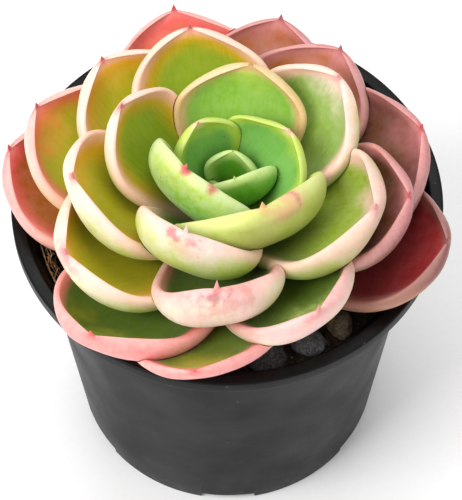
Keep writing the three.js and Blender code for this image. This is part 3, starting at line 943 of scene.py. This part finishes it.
@dataclass
class RootFibres:
    """Dry roots and coir fibres that lie on the mix, most of them in one tuft by the wall."""

    bed: MixBed
    tuft: tuple[float, float] = (-47.5, -12.5)
    count: int = 24
    stray: int = 14
    thickness: tuple[float, float] = (0.1, 0.24)
    length: tuple[float, float] = (7.0, 20.0)
    climb: float = 6.0
    steps: int = 28
    sides: int = 8
    seed: int = 23

    def tube(self, path: np.ndarray, radius: float) -> Skin:
        """A path carried round by a circle that tapers to both ends.

        Args:
            path: Points along the middle, shape (n, 3).
            radius: Thickest radius.

        Returns:
            The closed tube, with its length and its turn as the map named run.
        """
        share = np.linspace(0.0, 1.0, len(path))
        girth = radius * (0.35 + 0.65 * np.sin(math.pi * share) ** 0.5)
        ahead = np.gradient(path, axis=0)
        ahead /= np.linalg.norm(ahead, axis=1, keepdims=True)
        level = np.cross(ahead, np.array([0.0, 0.0, 1.0]))
        level /= np.linalg.norm(level, axis=1, keepdims=True)
        above = np.cross(level, ahead)
        turn = np.linspace(0.0, 2.0 * math.pi, self.sides, endpoint=False)
        ring = np.cos(turn)[None, :, None] * level[:, None] + np.sin(turn)[None, :, None] * above[:, None]
        rings = path[:, None] + ring * girth[:, None, None]
        run = np.stack(np.broadcast_arrays(turn[None, :], share[:, None] * 15.0), axis=-1)
        return Skin(rings, (path[0], path[-1]), {"run": run})

    def build(self) -> bpy.types.Object:
        """Draws each fibre as a loose arc that rests on the mix, and joins them all."""
        draw = np.random.default_rng(self.seed)
        edge = self.bed.pot.inside(self.bed.top) - 1.2
        meshes = []
        for k in range(self.count + self.stray):
            tufted = k < self.count
            length = draw.uniform(*self.length) * (1.0 if tufted else 0.7)
            reach, turn = draw.uniform(30.0, edge - 1.0), draw.uniform(0.0, 2.0 * math.pi)
            middle = np.array(self.tuft) + draw.normal(0.0, 2.6, 2) * np.array([0.8, 2.2])
            middle = middle if tufted else reach * np.array([math.cos(turn), math.sin(turn)])
            heading = draw.normal(1.75, 0.5) if tufted else draw.uniform(0.0, math.pi)
            bend = draw.normal(0.0, 0.9)
            share = np.linspace(-0.5, 0.5, self.steps)
            angle = heading + bend * share * 2.0 + 0.3 * np.sin(share * 9.0 + draw.uniform(0, 6))
            x = middle[0] + np.cumsum(np.cos(angle)) * length / self.steps
            y = middle[1] + np.cumsum(np.sin(angle)) * length / self.steps
            x, y = x - x.mean() + middle[0], y - y.mean() + middle[1]
            away = np.hypot(x, y)
            climb = self.climb * smooth((away - edge + 4.0) / 6.0) * tufted
            inward = np.minimum(1.0, (edge + 0.45 * climb) / away)
            rise = draw.uniform(0.3, 2.2) * np.sin(math.pi * (share + 0.5)) ** 2 + climb
            x, y = x * inward, y * inward
            path = np.stack([x, y, self.bed.relief(x, y) + 0.2 + rise], axis=-1)
            meshes.append(self.tube(path, draw.uniform(*self.thickness)).mesh(f"fibre_{k}"))
        joined = bmesh.new()
        for mesh in meshes:
            joined.from_mesh(mesh)
            bpy.data.meshes.remove(mesh)
        whole = bpy.data.meshes.new("root_fibres")
        joined.to_mesh(whole)
        joined.free()
        return self.bed.dressed(placed("root_fibres", whole), DryFibre().make("dry_fibre"))


@dataclass
class Pebbles:
    """Three loose pebbles in front, each one filling its CAD node's box."""

    rows: int = 40
    sides: int = 64
    finishes: tuple[tuple[str, str, Stone], ...] = (
        ("pebble_flat", "pebble_grey", Stone("#57585b", "#38393c", "#85868a")),
        ("pebble_grey", "pebble_grey", Stone("#777a7e", "#4a4c50", "#a6a8ab")),
        ("pebble_tan", "pebble_tan", Stone("#8d7f63", "#5d5340", "#b9ab8c")),
    )

    def stone(self, node: str, seed: int) -> Skin:
        """An uneven ball: a sphere's radius times 1 plus waves, stretched into the node's box."""
        low, high = node_box(node)
        tilt = np.linspace(-math.pi / 2.0, math.pi / 2.0, self.rows + 2)[1:-1, None]
        turn = np.linspace(0.0, 2.0 * math.pi, self.sides, endpoint=False)[None]
        ball = np.stack([np.cos(tilt) * np.cos(turn), np.cos(tilt) * np.sin(turn),
                         np.broadcast_to(np.sin(tilt), (self.rows, self.sides))], axis=-1)
        ball = np.concatenate([ball.reshape(-1, 3), [(0, 0, -1.0), (0, 0, 1.0)]])
        uneven = 1.0 + 0.09 * waves(ball, 2.4, seed) + 0.02 * waves(ball, 0.6, seed + 1)
        ball = ball * uneven[:, None]
        share = (ball - ball.min(axis=0)) / np.ptp(ball, axis=0)
        spots = low + share * (high - low)
        return Skin(spots[:-2].reshape(self.rows, self.sides, 3), (spots[-2], spots[-1]))

    def build(self) -> None:
        """Builds and dresses the pebbles."""
        for k, (node, slot, finish) in enumerate(self.finishes):
            piece = placed("worn_" + node, self.stone(node, 40 + 3 * k).mesh("worn_" + node))
            piece.data.materials.append(finish.make("stone_" + node))
            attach(piece, "root")
            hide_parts(node)


# ---- Rosette ------------------------------------------------------------------------------


class Family(Enum):
    """Colourings that several leaves share; their darkest root colours are partly painted shade."""

    BUD = LeafTint(Pigment.SPRUCE, Pigment.GRASS, Pigment.FERN, Pigment.FERN, 2.0,
                   Pigment.GRASS, Pigment.FERN, Pigment.DEW, 0.1, 0.04, Pigment.DEW)
    SPRING = LeafTint(Pigment.SPRUCE, Pigment.TEAL, Pigment.LIME, Pigment.LIME, 4.0,
                      Pigment.OLIVE, Pigment.LIME, Pigment.LIME, 0.1, 0.05, Pigment.SHELL)
    LETTUCE = LeafTint(Pigment.GRASS, Pigment.FERN, Pigment.LIME, Pigment.LIME, 4.0,
                       Pigment.FERN, Pigment.LIME, Pigment.DEW, 0.25, 0.05, Pigment.CRIMSON)
    BLUSHING = LeafTint(Pigment.GRASS, Pigment.FERN, Pigment.LIME, Pigment.APRICOT, 3.0,
                        Pigment.PISTACHIO, Pigment.HONEY, Pigment.HONEY, 0.05, 0.05, Pigment.APRICOT)
    PEARLY = LeafTint(Pigment.GRASS, Pigment.FERN, Pigment.LIME, Pigment.SHELL, 4.0,
                      Pigment.LIME, Pigment.PEARL, Pigment.SHELL, 0.18, 0.05, Pigment.SHELL)
    FRESH = LeafTint(Pigment.OLIVE, Pigment.FERN, Pigment.LIME, Pigment.HONEY, 5.0,
                     Pigment.LIME, Pigment.DEW, Pigment.APRICOT, 0.15, 0.08, Pigment.APRICOT)
    FROSTED = LeafTint(Pigment.OLIVE, Pigment.SAGE, Pigment.PEARL, Pigment.SHELL, 6.0,
                       Pigment.LIME, Pigment.CREAM, Pigment.SHELL, 0.25, 0.08, Pigment.ROSE)
    SUNLIT = LeafTint(Pigment.MOSS, Pigment.OLIVE, Pigment.STRAW, Pigment.MARIGOLD, 10.0,
                      Pigment.LIME, Pigment.CREAM, Pigment.SHELL, 0.2, 0.02, Pigment.CRIMSON)
    GOLDEN = LeafTint(Pigment.MOSS, Pigment.STRAW, Pigment.GOLD, Pigment.MARIGOLD, 12.0,
                      Pigment.LIME, Pigment.CREAM, Pigment.SHELL, 0.2, 0.02, Pigment.CRIMSON)
    FLAME = LeafTint(Pigment.MOSS, Pigment.STRAW, Pigment.AMBER, Pigment.CORAL, 8.0,
                     Pigment.HONEY, Pigment.PEARL, Pigment.SALMON, 0.18, 0.03, Pigment.CRIMSON)
    SCARLET = LeafTint(Pigment.UMBER, Pigment.RUSSET, Pigment.CORAL, Pigment.SCARLET, 10.0,
                       Pigment.APRICOT, Pigment.SALMON, Pigment.SALMON, 0.15, 0.08, Pigment.CRIMSON)
    PEACH = LeafTint(Pigment.UMBER, Pigment.MOSS, Pigment.STRAW, Pigment.CORAL, 4.0,
                     Pigment.SALMON, Pigment.SALMON, Pigment.SALMON, 0.15, 0.03, Pigment.SCARLET)
    PETAL = LeafTint(Pigment.UMBER, Pigment.MOSS, Pigment.HONEY, Pigment.SALMON, 3.0,
                     Pigment.CREAM, Pigment.SHELL, Pigment.ROSE, 0.25, 0.04, Pigment.ROSE)
    HEATHER = LeafTint(Pigment.MOSS, Pigment.OLIVE, Pigment.BISQUE, Pigment.SHELL, 6.0,
                       Pigment.PISTACHIO, Pigment.BISQUE, Pigment.BISQUE, 0.12, 0.08, Pigment.ROSE)
    # DUSK's back near the tip is MAUVE, darker partly as painted shade of the side away from the key light.
    DUSK = LeafTint(Pigment.UMBER, Pigment.BRICK, Pigment.MAUVE, Pigment.BLUSH, 4.0,
                    Pigment.TAUPE, Pigment.MAUVE, Pigment.BLUSH, 0.08, 0.06, Pigment.CRIMSON)
    BERRY = LeafTint(Pigment.UMBER, Pigment.RUSSET, Pigment.BLUSH, Pigment.ROSE, 5.0,
                     Pigment.TAUPE, Pigment.MAUVE, Pigment.BLUSH, 0.12, 0.05, Pigment.MAUVE)
    # EMBER's PLUM backs are partly painted shade: this leaf stands on the side away from the key light.
    EMBER = LeafTint(Pigment.SHADED_GARNET, Pigment.GARNET, Pigment.WINE, Pigment.PLUM, 4.0,
                     Pigment.RUSSET, Pigment.PLUM, Pigment.PLUM, 0.04, 0.02, Pigment.PLUM)


@dataclass(frozen=True)
class Leaf:
    """One leaf: where it grows, and how far it strays from the rules of growth.

    Attributes:
        azimuth: Direction in which it grows, in degrees.
        family: Its colouring.
        root: Lean of its root, in degrees beyond the rule.
        tip: Lean of its tip, in degrees beyond the rule.
        long: Length, in millimetres beyond the rule.
        wide: Half width, in millimetres beyond the rule.
        cup: Half angle of its section's curl, in degrees beyond the rule.
        twist: How far its tip is rolled about its length, in degrees.
        sweep: How far its tip is bent sideways, in millimetres.
        marks: Spots and scars.
    """

    azimuth: float
    family: Family
    root: float = 0.0
    tip: float = 0.0
    long: float = 0.0
    wide: float = 0.0
    cup: float = 0.0
    twist: float = 0.0
    sweep: float = 0.0
    marks: tuple[Mark, ...] = ()


# From the youngest to the oldest. Azimuths and strays rest on a least-squares fit that another
# program made, some of them changed by hand; families and marks were chosen by hand.
LEAVES: tuple[Leaf, ...] = (
    Leaf(236, Family.BUD, -1, -4, -3, 0, -11, 14, -3),
    Leaf(80, Family.BUD, 4, 0, 1, -1.5, 0, 0, 0),
    Leaf(292, Family.BUD, -2.5, 4, 1.5, 0.5, -17, 0, -2),
    Leaf(27, Family.SPRING, -7.5, -8, 3, 1, -17, 15, -3),
    Leaf(132, Family.SPRING, 4.5, 8, -3, -5, -11, -4, 1),
    Leaf(225, Family.LETTUCE, 2, 20, 2.5, 1.5, 4, 0, 0, (
         Mark(0.955, 8.6, (1.4, 2.2)), Mark(0.995, 0.6, (1.2, 1.4)),)),
    Leaf(290, Family.BLUSHING, -6.5, 16, 6.5, 5, 6, 5, -1, (
         Mark(0.93, 9.5, (1.1, 1.4), Pigment.SCAB, 1.0, 0.7),
         Mark(0.94, 7.0, (2.5, 7.0), Pigment.SALMON, 0.8, 0.45),)),
    Leaf(82, Family.FRESH, 2.5, 2, -3, -0.5, -6, -4, -2),
    Leaf(163, Family.SUNLIT, 1.5, 6, -0.5, -3, -20, -10, 0),
    Leaf(249, Family.PEARLY, -1.5, 20, 3.5, -2, 8, -6, 1, (
         Mark(0.97, -2.2, (1.0, 1.8), Pigment.SCAB, 1.0, 0.7),
         Mark(0.965, 2.4, (0.8, 1.6), Pigment.SCAB, 1.0, 0.6),
         Mark(0.94, 0.5, (3.0, 5.0), Pigment.ROSE, 0.8, 0.35),)),
    Leaf(34, Family.FROSTED, 3.5, 0, -2.5, -1.5, 0, 0, 0),
    Leaf(328, Family.HEATHER, -1.5, -2, 1.5, 1, 6, 10, 1),
    Leaf(197, Family.GOLDEN, 2.5, 2, 0.5, -0.5, -11, 0, 0),
    Leaf(104, Family.SUNLIT, 5, 0, -4.5, -1.5, -6, -8, 1),
    Leaf(267, Family.PETAL, 0, 28, 4, -3, 12, 15, -1, (
         Mark(0.965, -0.5, (1.2, 3.2), Pigment.SCAB, 1.0, 0.6),
         Mark(0.92, 2.0, (3.0, 7.0), Pigment.ROSE, 1.0, 0.4),)),
    Leaf(344, Family.DUSK, 2.5, -2, -1.5, -1.5, -6, 12, -1),
    Leaf(137, Family.GOLDEN, 6, 0, -4.5, 0, -6, 0, 1),
    Leaf(216, Family.GOLDEN, 4, 0, -0.5, 0, 0, -10, 0, (
         Mark(0.97, 0.0, (4.0, 5.0), Pigment.ROSE, 0.8, 0.6), Mark(0.93, 3.5, (0.7, 0.8)),)),
    Leaf(54, Family.BERRY, 5.5, -4, -6.5, -1, 0, -5, -2),
    Leaf(295, Family.PETAL, 7.5, 6, -1.5, -2.5, -6, 14, 0),
    Leaf(161, Family.FLAME, 7, 2, -1, 0, -3, -10, 0),
    Leaf(12, Family.DUSK, 11, 2, -4, 2.5, -17, 4, 0),
    Leaf(235, Family.PEACH, 3.5, 2, 2.5, 0.5, -8, 10, 0),
    Leaf(75, Family.BERRY, 7, 0, -4.5, -1, 0, -6, 0),
    Leaf(337, Family.EMBER, 7.5, 3.5, 0.5, -1.5, -11, 10, 2),
    Leaf(104, Family.SCARLET, 7, 0, -1, 1, -6, -8, 1),
    Leaf(171, Family.SCARLET, 8.5, 4, -1, 1, -11, -10, -1),
    Leaf(261, Family.PEACH, 15.5, -14, -2.5, -1.5, -34, 14, 0),
)


@dataclass
class Rosette:
    """All the leaves and the stem that carries them.

    Leaves follow rules of growth from the youngest to the oldest, and each one gives way
    to the stem and to every younger leaf.

    Attributes:
        length_rule: Length at the start, its gain, and the age over which it levels off.
        width_rule: The same for half of the width.
        root_rule: The same for the lean of the root in degrees, which falls with age.
        tip_rule: Lean of the tip in degrees, its loss with age, and the power of that loss.
        upturn_rule: How late along the leaf it turns up, and how that grows with age.
        thickness_rule: Thickness, its gain, and the leaf from which it stays the same.
        curl: Half angle of the section's curl, in degrees.
        widest: Where a leaf is widest, as a share of its length.
        fullness: Power that moves the thickest place towards the tip.
        point: Reach of the small point beyond the tip, as a share of the length.
        point_width: Width of the point as a share of the leaf's.
        edge_room: How much more the edges give way than the faces.
        lens: Shares of the thickness inside and on the back.
        stem_gap: Gap round the stem.
    """

    leaves: tuple[Leaf, ...] = LEAVES
    length_rule: tuple[float, float, float] = (10.0, 51.0, 0.32)
    width_rule: tuple[float, float, float] = (5.2, 17.0, 0.14)
    root_rule: tuple[float, float, float] = (-16.0, 96.0, 0.58)
    tip_rule: tuple[float, float, float] = (100.0, 20.0, 1.3)
    upturn_rule: tuple[float, float] = (2.5, 2.5)
    thickness_rule: tuple[float, float, float] = (3.0, 3.6, 10.0)
    curl: float = 78.0
    widest: float = 0.6
    fullness: float = 1.2
    point: float = 0.045
    point_width: float = 0.085
    edge_room: float = 1.5
    lens: tuple[float, float] = (0.42, 0.58)
    stem_gap: float = 0.3
    axis: tuple[float, float] = (0.8, -4.0)
    crown: float = 95.0
    span: float = 14.0
    stem: float = 7.0
    stem_tip: float = 1.0
    stem_foot: float = 70.0
    taper_leaves: int = 8
    cupping: float = 2.0
    bluntness: float = 0.72
    room: float = 0.25
    root_inset: float = 1.5
    rows: int = 54
    sides: int = 64

    def age(self, number: int) -> float:
        """0 for the youngest leaf and 1 for the oldest."""
        return number / (len(self.leaves) - 1)

    def length(self, number: int) -> float:
        """Length of a leaf, whose gain levels off with age."""
        least, gain, pace = self.length_rule
        return least + gain * (1.0 - math.exp(-self.age(number) / pace)) + self.leaves[number].long

    def half_width(self, number: int) -> float:
        """Half of a leaf's width along its cupped face, which levels off with age."""
        least, gain, pace = self.width_rule
        return least + gain * (1.0 - math.exp(-self.age(number) / pace)) + self.leaves[number].wide

    def midrib(self, number: int, share: np.ndarray) -> tuple[np.ndarray, np.ndarray, np.ndarray]:
        """The line along the middle of a leaf.

        Its lean goes from the root's to the tip's, fastest near the tip, and it runs on
        straight before the root and beyond the tip.

        Args:
            number: Number of the leaf, from 0.
            share: Places as shares of the leaf's length.

        Returns:
            Distance from the rosette's axis, height and lean at each place.
        """
        leaf, age, length = self.leaves[number], self.age(number), self.length(number)
        oldest, drop, pace = self.root_rule
        start = math.radians(oldest + drop * math.exp(-age / pace) + leaf.root)
        steep, loss, power = self.tip_rule
        end = math.radians(steep - loss * age**power + leaf.tip)
        on = clamped(share)
        forward, height, lean = arc(start, end, self.upturn_rule[0] + self.upturn_rule[1] * age, on)
        seat = self.stem_tip + (self.stem - self.stem_tip) * min(1.0, number / self.taper_leaves)
        out = seat + length * (forward + (share - on) * np.cos(lean))
        up = self.crown - self.span * age + length * (height + (share - on) * np.sin(lean))
        return out, up, lean

    def girth(self, number: int, share: np.ndarray) -> tuple[np.ndarray, np.ndarray]:
        """Half width and thickness of a leaf at shares of its length.

        The width grows as a sine to the widest place and then closes as a superellipse, and
        the flesh is thin at the root and full in the middle. A small cone makes the point.

        Args:
            number: Number of the leaf, from 0.
            share: Places as shares of the leaf's length.

        Returns:
            Half width and thickness at each place.
        """
        inside = clamped(share)
        rise = 0.3 + 0.7 * np.sin(math.pi / 2.0 * np.minimum(1.0, inside / self.widest)) ** 0.9
        past = np.maximum(0.0, (inside - self.widest) / (1.0 - self.widest))
        roundness = 0.55 + 0.4 * math.exp(-self.age(number) / 0.1)
        body = self.half_width(number) * rise * (1.0 - past**2) ** roundness
        narrowing = np.maximum(0.0, (1.0 + self.point - share) / 0.1)
        point = self.half_width(number) * self.point_width * smooth((share - 0.85) / 0.1) * narrowing
        fullness = 0.45 + 0.55 * np.sin(math.pi * inside**self.fullness) ** 0.8
        thin, gain, grown = self.thickness_rule
        thickness = thin + gain * min(1.0, number / grown)
        flesh = thickness * fullness * np.sqrt(1.0 - inside**8)
        return np.hypot(body, point), np.hypot(flesh, point)

    def surface(self, number: int, grow: float) -> Skin:
        """A leaf's skin as a function of the share of its length and the turn round its section.

        The section is a lens, fuller on its back, bent so that its edges turn up and the leaf is
        cupped. It is rolled by the twist, moved by the sweep, and carried along the midrib.
        The edges wave gently.

        Args:
            number: Number of the leaf, from 0.
            grow: How much larger the whole leaf is, in millimetres.

        Returns:
            The closed skin with three maps: place is the share of the length and of the
            width, rim is the side (1 inside, -1 on the back) and the distance to the edge,
            and run is the distance across and along, in millimetres.
        """
        leaf, length = self.leaves[number], self.length(number)
        even = np.linspace(0.0, 1.0, self.rows)
        share = np.concatenate([[-self.root_inset / length], 1.0 - (1.0 - even) ** 1.7,
                                1.0 + self.point * np.array([0.2, 0.4, 0.6, 0.8])])[:, None]
        inside = clamped(share)
        turn = np.linspace(0.0, 2.0 * math.pi, self.sides, endpoint=False)[None]
        across, side = np.cos(turn), np.sin(turn)
        width, thickness = self.girth(number, share)
        curl = math.radians(self.curl + leaf.cup) * (0.55 + 0.45 * smooth(inside / 0.5))
        reach, rise, slope = arc(0.0 * curl, curl, self.cupping, np.abs(across) + 0.0 * curl)
        stretched = share + np.where(share < 0.0, -1.0, share) * grow / length
        out, up, lean = self.midrib(number, stretched)
        part = np.where(side > 0.0, self.lens[0], self.lens[1])
        skin = np.sign(side) * np.abs(side) ** self.bluntness * (part * thickness + grow)
        stretch = self.edge_room * grow * across**2
        sway = np.sign(across) * (width * reach + stretch * np.cos(slope) - skin * np.sin(slope))
        lift = width * rise + stretch * np.sin(slope) + skin * np.cos(slope)
        lift = lift + 0.3 * np.abs(across) ** 3 * np.sin(math.pi * inside) * np.sin(
            9.0 * inside + 2.4 * number + 2.0 * across)
        roll = math.radians(leaf.twist) * inside
        sideways = sway * np.cos(roll) - lift * np.sin(roll) + leaf.sweep * inside**2
        normal = sway * np.sin(roll) + lift * np.cos(roll)
        out = out - np.sin(lean) * normal
        place = self.standing(leaf.azimuth, out, sideways, up + np.cos(lean) * normal)
        narrowing = np.gradient(width[:, 0], share[:, 0] * length)[:, None]
        margin = width * (1.0 - np.abs(across)) / np.sqrt(1.0 + narrowing**2)
        maps = {
            "place": np.stack(np.broadcast_arrays(share, across), axis=-1),
            "rim": np.stack(np.broadcast_arrays(side, margin), axis=-1),
            "run": np.stack(np.broadcast_arrays(width * across, share * length), axis=-1),
        }
        summit = 1.0 + self.point
        ends = np.array([share[0, 0] - grow / length, summit + summit * grow / length])
        end_out, end_up, _ = self.midrib(number, ends)
        poles = self.standing(leaf.azimuth, end_out, np.array([0.0, leaf.sweep]), end_up)
        return Skin(place, (poles[0], poles[1]), maps)

    def standing(self, azimuth: float, out: np.ndarray, sideways: np.ndarray, up: np.ndarray) -> np.ndarray:
        """Places given as outwards, sideways and upwards of the axis, turned to an azimuth."""
        turn = math.radians(azimuth)
        x = self.axis[0] + out * math.cos(turn) - sideways * math.sin(turn)
        y = self.axis[1] + out * math.sin(turn) + sideways * math.cos(turn)
        return np.stack([x, y, up], axis=-1)

    def stem_skin(self, grow: float) -> Skin:
        """The stem: a cylinder that stands in the mix and tapers to the crown."""
        shoulder = self.crown - self.span * self.age(self.taper_leaves)
        body = self.stem - self.stem_gap + grow
        corners = [(0.0, self.stem_foot - grow), (0.7 * self.stem + grow, self.stem_foot - grow),
                   (body, self.stem_foot + 4.0), (body, shoulder), (self.stem_tip + grow, self.crown),
                   (0.0, self.crown + self.stem_gap + grow)]
        return turned(refined(rounded(corners, 0.4), 3.0), 40, self.axis)

    def build(self) -> None:
        """Gives the stem its bark and builds the leaves, youngest first."""
        bark = bpy.data.objects["stem"]
        bark.data.materials.clear()
        bark.data.materials.append(Bark().make())
        cutters = [placed("stem_cutter", self.stem_skin(self.stem_gap).mesh("stem_cutter"))]
        for number, leaf in enumerate(self.leaves):
            name = f"leaf_{number + 1:02d}"
            body = self.surface(number, 0.0).mesh(name)
            near = [c for c in cutters if boxes_meet(body, c.data)]
            piece = placed("grown_" + name, carved("grown_" + name, body, near, 50.0))
            cutters.append(placed(name + "_room", self.surface(number, self.room).mesh(name + "_room")))
            skin = LeafSkin(leaf.family.value, leaf.marks, self.length(number), 3.7 * (number + 1))
            piece.data.materials.clear()
            piece.data.materials.append(skin.make("skin_" + name))
            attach(piece, "root")
            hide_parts(name)
            LOG.info("%s: %d faces", name, len(piece.data.polygons))
        removed(cutters)


def boxes_meet(first: bpy.types.Mesh, second: bpy.types.Mesh) -> bool:
    """True if the boxes round two meshes overlap."""
    bounds = []
    for mesh in (first, second):
        points = np.empty(len(mesh.vertices) * 3, dtype=np.float32)
        mesh.vertices.foreach_get("co", points)
        points = points.reshape(-1, 3)
        bounds.append((points.min(axis=0), points.max(axis=0)))
    (low_a, high_a), (low_b, high_b) = bounds
    return bool(np.all(low_a <= high_b) and np.all(low_b <= high_a))


# ---- Studio -------------------------------------------------------------------------------


@dataclass(frozen=True)
class Softbox:
    """A square area light, in metres, aimed at the plant."""

    name: str
    place: tuple[float, float, float]
    size: float
    power: float
    tint: str = "#ffffff"


@dataclass
class Studio:
    """Pale floor, soft light from all round, and the camera."""

    floor: float = 3.0
    daylight: float = 0.58
    boxes: tuple[Softbox, ...] = (
        Softbox("key", (-0.55, -0.35, 0.75), 0.5, 7.0),
        Softbox("fill", (0.7, -0.45, 0.5), 0.5, 1.2),
        Softbox("top", (0.0, 0.35, 0.9), 0.6, 4.0),
    )
    target: tuple[float, float, float] = (0.0, 0.0, 0.08)
    eye: tuple[float, float, float] = (0.0, -0.3172, 0.5515)
    tilt: float = 56.92
    swing: float = -0.18
    lens: float = 155.5
    sensor: float = 36.0

    def build_camera(self) -> None:
        """Sets the camera, looking down at the pot along +Y."""
        lens = bpy.data.cameras.new("camera")
        lens.lens, lens.sensor_width, lens.sensor_fit = self.lens, self.sensor, "AUTO"
        lens.clip_start, lens.clip_end = 0.01, 20.0
        camera = bpy.data.objects.new("camera", lens)
        camera.location = self.eye
        camera.rotation_euler = (math.radians(90.0 - self.tilt), 0.0, math.radians(self.swing))
        bpy.context.scene.collection.objects.link(camera)
        bpy.context.scene.camera = camera

    def build_floor(self) -> None:
        """Lays the floor as one large square."""
        half = self.floor * 500.0
        points = np.array([(-half, -half, 0.0), (half, -half, 0.0), (half, half, 0.0), (-half, half, 0.0)])
        mesh = bpy.data.meshes.new("floor")
        mesh.from_pydata((points * MM).tolist(), [], [(0, 1, 2, 3)])
        floor = placed("floor", mesh)
        mesh.materials.append(FloorPaper().make())

    def build_lights(self) -> None:
        """Hangs the softboxes, each aimed at the plant, and lights the surroundings evenly."""
        for box in self.boxes:
            lamp = bpy.data.lights.new(box.name, "AREA")
            lamp.energy, lamp.size, lamp.color = box.power, box.size, paint(box.tint)[:3]
            light = bpy.data.objects.new(box.name, lamp)
            light.location = box.place
            away = light.location - type(light.location)(self.target)
            light.rotation_euler = away.to_track_quat("Z", "Y").to_euler()
            bpy.context.scene.collection.objects.link(light)
        world = bpy.data.worlds.new("daylight")
        world.use_nodes = True
        shade = world.node_tree.nodes["Background"]
        shade.inputs["Color"].default_value = (1.0, 1.0, 1.0, 1.0)
        shade.inputs["Strength"].default_value = self.daylight
        bpy.context.scene.world = world
        bpy.context.scene.view_settings.view_transform = "Standard"

    def build(self) -> None:
        """Builds the floor, the lights and the camera."""
        self.build_camera()
        self.build_floor()
        self.build_lights()


def main() -> None:
    """Builds the pot, the mix, the pebbles, the rosette and the studio, in that order."""
    logging.basicConfig(level=logging.INFO, format="%(name)s: %(message)s")
    pot = NurseryPot()
    pot.build()
    LOG.info("pot built")
    bed = MixBed(pot)
    bed.build()
    RootFibres(bed).build()
    LOG.info("potting mix and fibres built")
    Pebbles().build()
    LOG.info("pebbles built")
    Rosette().build()
    LOG.info("rosette built")
    Studio().build()
    LOG.info("studio built")


if __name__ == "__main__":
    main()
